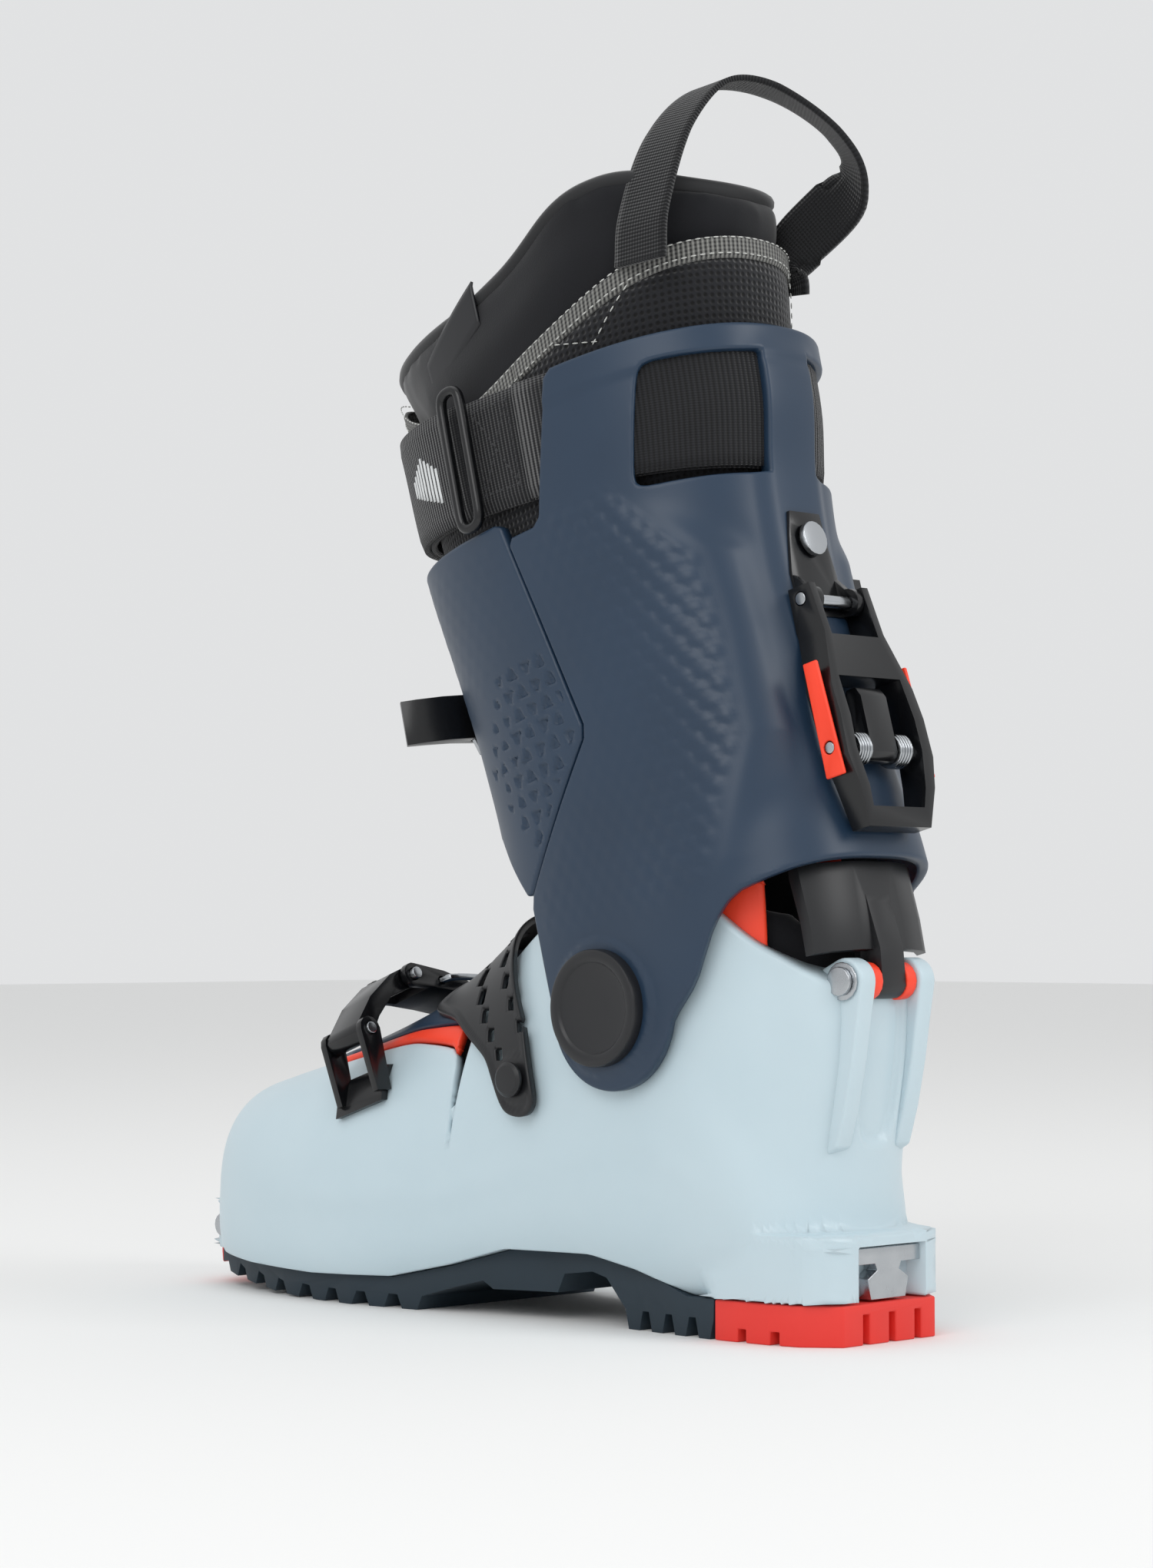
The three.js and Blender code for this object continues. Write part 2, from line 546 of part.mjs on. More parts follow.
const panelOutline = [[26.3, 40.2], [-13.3, 84], [4.5, cuffTop - 46], [6, cuffTop - 40], [100, cuffTop - 36],
  [100, 72], [46, 66], [39.6, 57]];
const frontPanel = cuffSkin.intersect(slab(panelOutline, -wide, wide));
add('cuff_front_panel', largest(frontPanel), 'navy', leg);

// Power strap round the liner, inside the cuff's struts, and its wire ring
const strapLow = (p) => cuffTop - 46 + (p + 95) * 0.11;
const strapOutline = [[-95, strapLow(-95)], [100, strapLow(100)], [100, strapLow(100) + strapWidth],
  [-95, strapLow(-95) + strapWidth]];
const strapRows = cuffRows.concat([[cuffTop + 30, -82, 82, cuffHalf + 3, -8, 2.3, 2.2]]);
const strapFace = -cuffWall - 0.5;
const strap = legForm(strapRows, strapFace).subtract(legForm(strapRows, strapFace - webbing))
  .intersect(slab(strapOutline, -wide, wide));
add('power_strap', strap, 'webbingBlack', leg);
const wire = 1.8;
const ringAt = { p: 17, y: cuffHalf + 2.4, q: strapLow(17) + strapWidth / 2 };
const ringOut = box(ringAt.p - 6, ringAt.p + 6, ringAt.y - wire, ringAt.y + wire,
  ringAt.q - strapWidth / 2 - 5, ringAt.q + strapWidth / 2 + 5);
add('strap_ring', ringOut.subtract(box(ringAt.p - 6 + 2 * wire, ringAt.p + 6 - 2 * wire, 0, wide,
  ringAt.q - strapWidth / 2 - 5 + 2 * wire, ringAt.q + strapWidth / 2 + 5 - 2 * wire)), 'black', leg);

// Liner collar, tongue and pull loop
const collarGapRadius = footTop + 4;
const collarOutline = [...arc(0, 0, collarGapRadius, 128, 62, 8), [50, 80], [110, 98], [110, collarTop - 24],
  [44, collarTop - 22], [12, collarTop - 21], [-13, collarTop - 15], [-36, collarTop - 1], [-57, collarTop],
  [-76, collarTop - 10], [-92, collarTop - 13], [-90, 75], [-54, 72]];
const collarRim = slab(collarOutline, -wide, wide);
const collarOut = legForm(collarRows, 0, 22, 9);
const collarIn = legForm(collarRows, -collarFoam, 22, 9);
add('liner_collar', collarOut.subtract(collarIn).intersect(collarRim), 'foamBlack', leg);
const tongueWall = 5;
const tongue = legForm(collarRows, -collarFoam - 0.5, 22, 9)
  .subtract(legForm(collarRows, -collarFoam - 0.5 - tongueWall, 22, 9))
  .intersect(slab([[20, 88], [50, 96], [110, 110], [110, collarTop - 20], [20, collarTop - 16]], -26, 26));
add('liner_tongue', tongue, 'foamBlack', leg);

const loopPoints = [[-63, 39, 221], [-66, 36, 238], [-72, 24, 264], [-80, 8, 279], [-90, -9, 276],
  [-100, -24, 259], [-98, -33, 242], [-82, -35, 224], [-74, -37, 214]];
const loopPath = new THREE.CatmullRomCurve3(loopPoints.map((p) => new THREE.Vector3(...p)));
const loopRings = Array.from({ length: 25 }, (_, i) => {
  const at = loopPath.getPoint(i / 24);
  const along = loopPath.getTangent(i / 24);
  const out = new THREE.Vector3(at.x + 62, at.y, (at.z - 228) * 1.2 + 4).normalize();
  const across = along.clone().cross(out).normalize();
  const normal = across.clone().cross(along).normalize();
  return [[11, 1.1], [-11, 1.1], [-11, -1.1], [11, -1.1]].map(([a, n]) => at.clone()
    .addScaledVector(across, a).addScaledVector(normal, n).toArray());
});
add('pull_loop', largest(loft(loopRings).subtract(legForm(collarRows, 0.4, 22, 9))), 'webbingBlack', leg);

// Ski-walk lever at the back of the cuff, in the leg's frame ---------------------------------

const hinge = leverHinge;
const ears = 10.6;               // outer faces of the bracket's ears
const earThick = 2.6;
const bracketEnd = [[-ears, hinge.q - 4], [-ears, hinge.q + 10], [-7, hinge.q + 30], [7, hinge.q + 30],
  [ears, hinge.q + 10], [ears, hinge.q - 4]];
const bracketPlate = cuffPatch(gap, gap + 2.4, bar(bracketEnd, -110, -40));
const bracketEar = (y0, y1) => slab([[-76.2, hinge.q + 9], [-76.2, hinge.q - 3.5],
  ...arc(hinge.p, hinge.q, 4.6, 250, 90, 8)], y0, y1);
const bracketEars = [bracketEar(ears - earThick, ears), bracketEar(-ears, earThick - ears)];
const bracket = bracketPlate.add(bracketEars[0]).add(bracketEars[1])
  .subtract(rod(hinge.p, hinge.q, hinge.radius + gap, -wide, wide))
  .subtract(rodBetween([-110, 0, hinge.q + 21], [-60, 0, hinge.q + 21], 3.2));
add('lever_bracket', largest(bracket), 'black', leg);
const screw = { q: hinge.q + 21, seat: -77.4, shank: 2.9, head: 5.4 };
add('bracket_screw', rodBetween([screw.seat, 0, screw.q], [screw.seat + 3, 0, screw.q], screw.shank)
  .add(rodBetween([screw.seat - 1.8, 0, screw.q], [screw.seat + 0.2, 0, screw.q], screw.head, 20)), 'steel', leg);
const pinHalf = ears + 3.4;
add('lever_pin', rod(hinge.p, hinge.q, hinge.radius, -pinHalf, pinHalf), 'steel', leg);

// The frame swings on the pin: a ring of two rails that widen downwards, joined at both ends
const lever = new THREE.Group();
lever.position.set(hinge.p, 0, hinge.q);
leg.add(lever);
const railWidth = 4.6;
const leverSide = [[-4.4, 4], [4.2, 4], [4.2, -10], [1.4, -24], [-1.2, -44], [-2.8, -60], [-3.2, 4 - leverLength],
  [-10, 4 - leverLength], [-12, -62], [-11.4, -40], [-7, -12]];
const rails = (grow) => [[-13.8 + grow, 6], [-13.8 + grow, -12], [-leverHalf + 1 + grow, -30],
  [-leverHalf + grow, -52], [-14 + grow, 2 - leverLength + 2 * grow], [14 - grow, 2 - leverLength + 2 * grow],
  [leverHalf - grow, -52], [leverHalf - 1 - grow, -30], [13.8 - grow, -12], [13.8 - grow, 6]];
const leverBlank = slab(leverSide, -wide, wide).intersect(bar(rails(0), -40, 40));
const openTop = bar([[-ears - gap, 10], [-ears - gap, -13], [ears + gap, -13], [ears + gap, 10]], -40, 40);
const openMiddle = bar([[-14.4, -27], [-leverHalf + railWidth, -50], [-12, 10 - leverLength],
  [12, 10 - leverLength], [leverHalf - railWidth, -50], [14.4, -27]], -40, 40);
const rollerAt = { x: -5.8, z: -49 };
const rollerRadius = 1.8;
const inlayRecess = [[-wide, -18], [-10.2, -18], [-13.4, -60], [-wide, -60]];
const leverFrame = leverBlank.subtract(openTop).subtract(openMiddle)
  .subtract(rod(0, 0, hinge.radius + gap, -wide, wide))
  .subtract(rod(rollerAt.x, rollerAt.z, rollerRadius + gap, -wide, wide))
  .subtract(slab(inlayRecess, -wide, -14))
  .subtract(slab(inlayRecess, 14, wide));
add('lever_frame', largest(leverFrame), 'black', lever);
const inlay = (y0, y1) => slab([[-7.4, -22], [-2, -22], [-2.6, -58], [-10, -58]], y0, y1);
const rollerPin = rod(rollerAt.x, rollerAt.z, rollerRadius, -leverHalf - 1, leverHalf + 1);
add('roller_pin', rollerPin, 'steel', lever);
[1, -1].forEach((side) => {
  const where = side > 0 ? 'inner' : 'outer';
  const near = leverHalf + gap;
  const edge = inlay(side > 0 ? near : -near - 1.2, side > 0 ? near + 1.2 : -near)
    .subtract(rod(rollerAt.x, rollerAt.z, rollerRadius + gap, -wide, wide));
  add(`lever_inlay_${where}`, largest(edge), 'orange', lever);
  const roller = rod(rollerAt.x, rollerAt.z, 5, Math.min(side * 6.5, side * 12.5), Math.max(side * 6.5, side * 12.5),
    rollerRadius + gap);
  add(`spring_roller_${where}`, roller, 'steel', lever);
});

// The arm that hangs on the roller pin and presses the link down when the lever is shut
const arm = new THREE.Group();
arm.position.set(rollerAt.x, 0, rollerAt.z);
lever.add(arm);
const armHalf = 5.9;
const armSide = [...arc(0, 0, 4.2, 200, 340, 6), [3.4, 16], [1.6, 19], [-2, 19], [-3.6, 16]];
add('release_arm', slab(armSide, -armHalf, armHalf)
  .subtract(rod(0, 0, rollerRadius + gap, -wide, wide)), 'black', arm);

// The link from the heel axle up into the back of the cuff, in its own frame on the axle
const link = new THREE.Group();
link.position.set(axle.x, 0, axle.z);
boot.add(link);
const linkTop = 38;
const linkSide = [...arc(0, 0, 5.4, 195, 345, 8), [5.8, 8], [7.4, 22], [11.4, linkTop], [6.4, linkTop],
  [0.8, 24], [-4.2, 10]];
const linkBar = slab(linkSide, -linkHalf, linkHalf).subtract(rod(0, 0, axle.radius + gap, -wide, wide));
leg.updateMatrix();
const wingPatch = cuffPatch(-cuffWall - 5, -cuffWall - 2.3, box(-90, -50, -wingHalf, wingHalf, 0, 27));
const wing = placed(wingPatch, leg.matrix).subtract(shellForm(gap));
add('walk_link', largest(linkBar.add(moved(wing, -axle.x, 0, -axle.z))), 'black', link);

// Buckles ------------------------------------------------------------------------------------

// Forefoot: a bracket and swinging arm inside, a lever over the top, a toothed rack outside
const fore = new THREE.Group();
fore.position.set(forefootStation, 0, forefootTop);
fore.rotation.y = buckleSlope;
boot.add(fore);
const buckleWidth = 15;
const bracketGap = 0.5;
const pinRadius = 2;
const placedBy = (group) => (solid) => {
  group.updateMatrix();
  return placed(solid, group.matrix);
};
const eyeY = ballHalfInner - 4.2;
const armPin = { y: eyeY, z: -5 };
const ear = (y, z, low) => [[y - 3, low], [y + 3, low], ...arc(y, z, 4.2, 0, 180, 6)];
const halfBuckle = buckleWidth / 2;
const buckleSlot = halfBuckle + bracketGap;
const earPair = (outline) => bar(outline, buckleSlot, halfBuckle + 3)
  .add(bar(outline, -halfBuckle - 3, -buckleSlot));
const axisRod = (y, z, radius, half) => rodBetween([-half, y, z], [half, y, z], radius);
const placedFore = placedBy(fore);
const forePatch = shellPatch(gap, gap + 2.6, placedFore(box(-halfBuckle - 1, halfBuckle + 5, 20, wide, -29, -17)));
const foreEyes = earPair(ear(armPin.y, armPin.z, -26)).subtract(axisRod(armPin.y, armPin.z, pinRadius + gap, 20));
const foreEars = placedFore(foreEyes).subtract(shellForm(gap));
add('forefoot_bracket', largest(forePatch.add(foreEars)), 'black');
add('forefoot_arm_pin', axisRod(armPin.y, armPin.z, pinRadius, halfBuckle + 4), 'steel', fore);

const foreArm = new THREE.Group();
foreArm.position.set(0, armPin.y, armPin.z);
fore.add(foreArm);
const leverPin = { y: -25, z: 18.5 };
const armOutline = [...arc(0, 0, 3.8, -120, 60, 6), [-6, 12], [-17, 19.5],
  ...arc(leverPin.y, leverPin.z, 3.6, 60, 260, 6), [-15, 11.5], [-8, 5]];
add('forefoot_arm', bar(armOutline, -halfBuckle, halfBuckle)
  .subtract(axisRod(0, 0, pinRadius + gap, 20))
  .subtract(axisRod(leverPin.y, leverPin.z, pinRadius + gap, 20)), 'black', foreArm);
add('forefoot_lever_pin', axisRod(leverPin.y, leverPin.z, pinRadius, halfBuckle + 5), 'steel', foreArm);

const foreLever = new THREE.Group();
foreLever.position.set(0, leverPin.y, leverPin.z);
foreArm.add(foreLever);
const foreLeverOutline = [...arc(0, 0, 4, 20, 110, 4), [-14, 1], [-30, -5], [-40, -10.5], [-42, -13.5],
  [-38.5, -12.5], [-28, -8.5], [-16, -6], [-6.5, -4.5], [-6.5, -1.5]];
const foreBailAt = { y: -12, z: -2.4 };
const wireRadius = 1.3;
const foreCheek = [...arc(0, 0, 4, -100, 110, 8), [-14, 1], [-18, -1], [-18, -5.5], [-8, -4.6]];
add('forefoot_lever', bar(foreLeverOutline, -halfBuckle - 3, halfBuckle + 3)
  .add(earPair(foreCheek))
  .subtract(bar([[-6.4, -8], [6, -8], [6, 8], [-6.4, 8]], -buckleSlot, buckleSlot))
  .subtract(axisRod(0, 0, pinRadius + gap, 20))
  .subtract(axisRod(foreBailAt.y, foreBailAt.z, wireRadius + gap, 20)), 'black', foreLever);

// A round wire through points
function wireSolid(points, radius, steps, sides = 6) {
  const path = new THREE.CatmullRomCurve3(points.map((at) => new THREE.Vector3(...at)), false, 'catmullrom', 0.3);
  const frames = path.computeFrenetFrames(steps);
  return loft(Array.from({ length: steps + 1 }, (_, i) => {
    const at = path.getPointAt(i / steps);
    return Array.from({ length: sides }, (__, k) => {
      const angle = 2 * Math.PI * k / sides;
      return at.clone().addScaledVector(frames.normals[i], radius * Math.cos(angle))
        .addScaledVector(frames.binormals[i], radius * Math.sin(angle)).toArray();
    });
  }));
}
const foreBail = new THREE.Group();
foreBail.position.set(0, foreBailAt.y, foreBailAt.z);
foreLever.add(foreBail);
const bailHalf = halfBuckle + 6.5;
const bailSide = [[0, 0], [-3, 0], [-18, -1], [-36, -10], [-46, -22], [-51, -33]];
const foreRun = bailSide.slice(1);
const foreWire = [[-bailHalf + 8, 0, 0], [-bailHalf + 2, 0, 0], ...foreRun.map(([y, z]) => [-bailHalf, y, z]),
  ...foreRun.slice().reverse().map(([y, z]) => [bailHalf, y, z]), [bailHalf - 2, 0, 0], [bailHalf - 8, 0, 0]];
add('forefoot_bail', wireSolid(foreWire, wireRadius, 44), 'steel', foreBail);

const rackPatch = shellPatch(gap, gap + 2, placedFore(box(-halfBuckle, halfBuckle, -wide, -20, -56, -31)));
const rackTeeth = [-36, -42, -48].reduce((teeth, z) => teeth.add(shellPatch(gap, gap + 4.2,
  placedFore(box(-halfBuckle, halfBuckle, -wide, -20, z - 1.3, z + 1.3)))), rackPatch);
add('forefoot_rack', largest(rackTeeth), 'black');

// Instep: a perforated strap riveted inside, drawn over the instep by a lever outside
const strapSide = [[103, 69], [107, 64], [117, 65], [127, 82], [150, 94], [170, 96], [166, 122], [140, 132],
  [124, 114], [110, 93]];
const strapEnd = -14;
const strapRivet = { x: 112.5, z: 76 };
const instepStrap = shellPatch(2, 4.4, slab(strapSide, strapEnd, wide))
  .subtract(rod(strapRivet.x, strapRivet.z, 3.3, 0, wide));
add('instep_strap', largest(instepStrap), 'black');
const rivetFace = ankleHalf + 4.9;
const rivet = [[0, ankleHalf - 0.6], [3, ankleHalf - 0.6], [3, rivetFace], [5.6, rivetFace],
  [5.6, rivetFace + 1], [4.4, rivetFace + 1.8], [0, rivetFace + 1.8]];
const rivetSolid = moved(turned(rivet, 1), strapRivet.x - pivot.x, 0, strapRivet.z - pivot.z);
add('strap_rivet', rivetSolid.subtract(shellForm(gap)), 'black');

const instep = new THREE.Group();
instep.position.set(instepStation + 12, 0, instepTop);
instep.rotation.y = instepSlope;
boot.add(instep);
const placedInstep = placedBy(instep);
const instepPin = { y: -42.5, z: -10 };
const instepBase = shellPatch(gap, gap + 2.4,
  placedInstep(box(-halfBuckle - 3, halfBuckle + 3, -wide, -20, -42, -22)));
const instepEyes = earPair(ear(instepPin.y, instepPin.z, -26))
  .subtract(axisRod(instepPin.y, instepPin.z, pinRadius + gap, 20));
const instepEars = placedInstep(instepEyes).subtract(shellForm(gap));
add('instep_base', largest(instepBase.add(instepEars)), 'black');
add('instep_lever_pin', axisRod(instepPin.y, instepPin.z, pinRadius, halfBuckle + 4), 'steel', instep);
const instepLever = new THREE.Group();
instepLever.position.set(0, instepPin.y, instepPin.z);
instep.add(instepLever);
const instepOutline = [...arc(0, 0, 4, 140, 300, 8), [8, 3.5], [18, 12], [30, 18], [38, 19], [38, 23],
  [29, 22.5], [14, 15.5], [2, 8], [-3, 4.6]];
add('instep_lever', bar(instepOutline, -halfBuckle, halfBuckle).subtract(axisRod(0, 0, pinRadius + gap, 20)),
  'black', instepLever);

// Cuff buckle: a lever at the front, a wire bail round the outside to a rack behind
const buckleAt = 116;
const frontOf = 66.2;
const cuffPin = { p: frontOf + 7.8, y: -4 };
const high = [buckleAt - halfBuckle - 3, buckleAt + halfBuckle + 3];
const cuffEars = [[cuffPin.p - 9, cuffPin.y - 4.2], ...arc(cuffPin.p, cuffPin.y, 4.2, -90, 90, 6),
  [cuffPin.p - 9, cuffPin.y + 4.2]];
const upPin = (p, y, radius, half) => rodBetween([p, y, buckleAt - half], [p, y, buckleAt + half], radius);
const cuffBase = cuffPatch(gap, gap + 2.4, box(40, 110, -12, 12, ...high))
  .add(plate(cuffEars, high[0], high[0] + 2.5).add(plate(cuffEars, high[1] - 2.5, high[1]))
    .subtract(legForm(cuffRows, gap)))
  .subtract(upPin(cuffPin.p, cuffPin.y, pinRadius + gap, 30));
add('cuff_buckle_base', largest(cuffBase), 'black', leg);
add('cuff_lever_pin', upPin(cuffPin.p, cuffPin.y, pinRadius, halfBuckle + 3 + gap), 'steel', leg);
const cuffLever = new THREE.Group();
cuffLever.position.set(cuffPin.p, cuffPin.y, buckleAt);
leg.add(cuffLever);
const cuffLeverOutline = [...arc(0, 0, 3.9, 20, -160, 8), [-3.4, 3.6], [-2.6, 13], [1, 22], [6, 29.5],
  [9.5, 33.5], [11.5, 32], [8.6, 26], [5.4, 18], [3.8, 9]];
const bailAt = { x: 0.4, y: 11 };
add('cuff_lever', plate(cuffLeverOutline, -halfBuckle, halfBuckle)
  .subtract(rodBetween([0, 0, -20], [0, 0, 20], pinRadius + gap))
  .subtract(rodBetween([bailAt.x, bailAt.y, -20], [bailAt.x, bailAt.y, 20], wireRadius + gap)), 'black', cuffLever);
const cuffBail = new THREE.Group();
cuffBail.position.set(bailAt.x, bailAt.y, 0);
cuffLever.add(cuffBail);
const bailStart = [cuffPin.p + bailAt.x, cuffPin.y + bailAt.y];
const around = [[73.2, 2], [71, -6], [70, -13], [67.5, -22], [59, -33.5], [46, -43.5], [28, -51.5], [6, -56],
  [-16, -56], [-36, -51.5], [-46, -47.5]].map(([p, y]) => [p - bailStart[0], y - bailStart[1]]);
const cuffBailHalf = halfBuckle + 5.1;
const cuffWire = [[0, 0, cuffBailHalf - 6], [0, 0, cuffBailHalf - 2], ...around.map(([p, y]) => [p, y, cuffBailHalf]),
  ...around.slice().reverse().map(([p, y]) => [p, y, -cuffBailHalf]), [0, 0, 2 - cuffBailHalf],
  [0, 0, 6 - cuffBailHalf]];
add('cuff_bail', wireSolid(cuffWire, wireRadius, 60), 'steel', cuffBail);
const rackBlock = (from, to) => box(from, to, -wide, -10, buckleAt - halfBuckle, buckleAt + halfBuckle);
const cuffTeeth = [-50.5, -56, -61.5].reduce(
  (teeth, p) => teeth.add(cuffPatch(gap, gap + 5.2, rackBlock(p - 1.4, p + 1.4))),
  cuffPatch(gap, gap + 2.2, rackBlock(-66, -34)));
add('cuff_rack', largest(cuffTeeth), 'black', leg);

export default model;
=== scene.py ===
# Alpine touring boot. Sizes are in millimetres from the back of the heel, and turned to metres at the end.
import json
import math

import bmesh
import bpy
import numpy as np
from mathutils import Matrix, Vector

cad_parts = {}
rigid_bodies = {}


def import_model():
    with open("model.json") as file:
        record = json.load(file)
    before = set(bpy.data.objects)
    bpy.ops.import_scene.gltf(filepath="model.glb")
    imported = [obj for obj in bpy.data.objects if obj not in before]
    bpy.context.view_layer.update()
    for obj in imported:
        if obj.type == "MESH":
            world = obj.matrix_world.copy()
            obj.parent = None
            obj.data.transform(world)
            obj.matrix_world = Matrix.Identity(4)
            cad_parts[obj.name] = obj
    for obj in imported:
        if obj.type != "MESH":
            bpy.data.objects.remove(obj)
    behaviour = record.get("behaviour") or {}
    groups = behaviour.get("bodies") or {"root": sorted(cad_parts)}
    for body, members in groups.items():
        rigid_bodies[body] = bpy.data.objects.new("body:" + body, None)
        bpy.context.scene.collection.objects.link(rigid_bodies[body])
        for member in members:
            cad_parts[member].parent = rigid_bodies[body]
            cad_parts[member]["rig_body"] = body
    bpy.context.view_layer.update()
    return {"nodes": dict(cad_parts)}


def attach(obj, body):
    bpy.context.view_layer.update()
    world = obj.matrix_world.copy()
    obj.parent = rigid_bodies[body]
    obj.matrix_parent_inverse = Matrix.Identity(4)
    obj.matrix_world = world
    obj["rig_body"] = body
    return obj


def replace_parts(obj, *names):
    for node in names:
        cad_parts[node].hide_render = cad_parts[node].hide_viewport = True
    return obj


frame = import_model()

print("stage: frame loaded")

treadMiddle = 17.5
toe = 287
pivot = (72, 99)
lean = math.radians(14)
ankleHalf = 42.4
cuffHalf = ankleHalf + 5
cuffWall = 3.5
cuffTop = 198
soleLine = 12.4

studio = {
    "cameraAt": (-0.6833, 0.8045, 0.1220),
    "heading": 43.59,
    "pan": -1.09,
    "tilt": 2.46,
    "lens": 79.41,
    "floor": "#f0f0ef",
    "world": 0.82,
    "key": 9,
    "rim": 7,
    "top": 3.5,
}


def linear(colour):
    parts = [int(colour[i : i + 2], 16) / 255 for i in (1, 3, 5)]
    return (*[c / 12.92 if c <= 0.04045 else ((c + 0.055) / 1.055) ** 2.4 for c in parts], 1)


def addNode(tree, kind, settings=None, links=None):
    # lower case names are the node's own settings; the rest are its sockets
    node = tree.nodes.new(kind)
    for name, value in (settings or {}).items():
        if isinstance(name, str) and name[0].islower():
            setattr(node, name, value)
        else:
            node.inputs[name].default_value = value
    for name, source in (links or {}).items():
        tree.links.new(source, node.inputs[name])
    return node


# Shapes


def smooth(value, low, high):
    t = np.clip((value - low) / (high - low), 0, 1)
    return t * t * (3 - 2 * t)


def between(rows, along):
    rows = np.asarray(rows, float)
    last = len(rows) - 1
    place = np.clip(along, 0, 1) * last
    i = np.minimum(place.astype(int), last - 1)
    t = (place - i)[:, None]
    b, c = rows[i], rows[i + 1]
    a = np.where((i == 0)[:, None], 2 * b - c, rows[np.maximum(i - 1, 0)])
    d = np.where((i == last - 1)[:, None], 2 * c - b, rows[np.minimum(i + 2, last)])
    return 0.5 * (2 * b + (c - a) * t + (2 * a - 5 * b + 4 * c - d) * t**2 + (3 * b - a - 3 * c + d) * t**3)


def squareRound(angle, lowPower, highPower):
    c, s = np.cos(angle), np.sin(angle)
    power = np.where(s > 0, highPower, lowPower)
    reach = (np.abs(c) ** power + np.abs(s) ** power) ** (-1 / power)
    return c * reach, s * reach


ballInner, ballOuter = 48, 51
# lowest and highest point, half-widths inside and outside, place of the widest point, squareness below and above
shellRows = [
    (toe - 7, 34, toe - 7, 48, 8, 8, 0.5, 2, 2),
    (toe - 9, 18, toe - 10, 61, 24, 22, 0.45, 3, 2.4),
    (toe - 17, 6, toe - 20, 69, 35, 33, 0.4, 4, 2.6),
    (toe - 35, 2, toe - 38, 74, ballInner - 5, ballOuter - 9, 0.38, 4.5, 2.6),
    (toe - 62, 0, toe - 64, 81, ballInner, ballOuter - 3, 0.36, 4.5, 2.4),
    (toe - 95, 0, toe - 95, 92, ballInner + 1, ballOuter + 1, 0.35, 4.5, 2.2),
    (160, 2, 164, 105, ankleHalf + 3.1, ankleHalf + 6.6, 0.36, 4, 2.1),
    (128, 6, 142, 120, ankleHalf + 0.1, ankleHalf + 1.6, 0.4, 3.5, 2.1),
    (92, 6, 124, 136, ankleHalf - 0.4, ankleHalf, 0.45, 3.2, 2.2),
    (50, 2, 112, 146, ankleHalf - 0.1, ankleHalf - 0.1, 0.5, 3, 2.3),
    (8, 4, 104, 152, ankleHalf, ankleHalf, 0.55, 2.5, 2.4),
    (5, 40, 100, 158, ankleHalf, ankleHalf, 0.6, 2.2, 2.4),
    (3, 75, 98, 163, ankleHalf, ankleHalf, 0.6, 2.1, 2.4),
    (3, 105, 96, 168, ankleHalf, ankleHalf, 0.6, 2.1, 2.4),
    (5, 132, 94, 174, ankleHalf, ankleHalf, 0.6, 2.1, 2.4),
    (9, 166, 92, 206, ankleHalf, ankleHalf, 0.6, 2.1, 2.4),
]
noseCap = 0.03
noseBulge = 2.4


def shellPoint(uv, offset=0.0):
    angle, along = uv[:, 0], uv[:, 1]
    bx, bz, tx, tz, inner, outer, widest, low, high = between(shellRows, along).T
    nose = smooth(bx, toe - 52, toe - 7) * offset
    length = np.hypot(tx - bx, tz - bz)
    upX, upZ = (tx - bx) / length, (tz - bz) / length
    footX, footZ = bx + nose - upX * offset, bz - upZ * offset
    y, z = squareRound(angle, low, high)
    height = np.where(z > 0, widest + (1 - widest) * z, widest * (1 + z)) * (length + 2 * offset)
    half = np.where(y > 0, inner, outer) + offset
    point = np.stack([footX + upX * height, y * half, footZ + upZ * height], 1)
    ahead = np.clip(-along / noseCap, 0, 1)
    shrink = np.sqrt(1 - ahead**2)[:, None]
    middle = np.array([toe - 7, 0, 41.0])
    closed = middle + (point - middle) * shrink + np.outer(1 - shrink[:, 0], (noseBulge, 0, 0))
    return np.where((along < 0)[:, None], closed, point)


# height up the leg, rear, front, half-width, place of the widest point, squareness behind and in front
cuffRows = [
    (-34, -78, 56, cuffHalf, -4, 3.2, 3.2),
    (0, -81, 57, cuffHalf, -4, 3.2, 3),
    (30, -82, 57, cuffHalf, -5, 2.8, 2.6),
    (60, -80, 58, cuffHalf, -7, 2.5, 2.3),
    (90, -77, 62, cuffHalf + 0.5, -8, 2.4, 2.2),
    (120, -74, 67, cuffHalf + 1, -8, 2.3, 2.2),
    (cuffTop - 48, -75, 73, cuffHalf + 2, -8, 2.3, 2.2),
    (cuffTop - 23, -80, 77, cuffHalf + 2.6, -8, 2.3, 2.2),
    (cuffTop + 2, -81, 79, cuffHalf + 2.6, -8, 2.3, 2.2),
]
strapRows = cuffRows + [(cuffTop + 30, -82, 82, cuffHalf + 3, -8, 2.3, 2.2)]
collarTop = 256
collarRows = [
    (20, -67, 50, ankleHalf - 4, -5, 2.4, 2.2),
    (70, -68, 53, ankleHalf - 3, -7, 2.3, 2.2),
    (120, -65, 60, ankleHalf - 2, -8, 2.3, 2.2),
    (cuffTop - 48, -67.5, 65, ankleHalf - 1, -8, 2.3, 2.2),
    (cuffTop, -73, 71, ankleHalf + 0.6, -8, 2.3, 2.2),
    (cuffTop + 32, -79, 76, ankleHalf + 2, -8, 2.2, 2.2),
    (collarTop + 10, -81, 82, ankleHalf + 3, -8, 2.2, 2.2),
]


def legPoint(rows):
    # points in the leg's own frame: forward, to the inner side, up the leg from the pivot
    def at(uv, offset=0.0):
        height, rear, front, half, middle, rearPower, frontPower = between(rows, uv[:, 1]).T
        y, p = squareRound(uv[:, 0], rearPower, frontPower)
        reach = np.where(p > 0, front - middle, middle - rear) + offset
        return np.stack([middle + p * reach, y * (half + offset), height], 1)

    return at


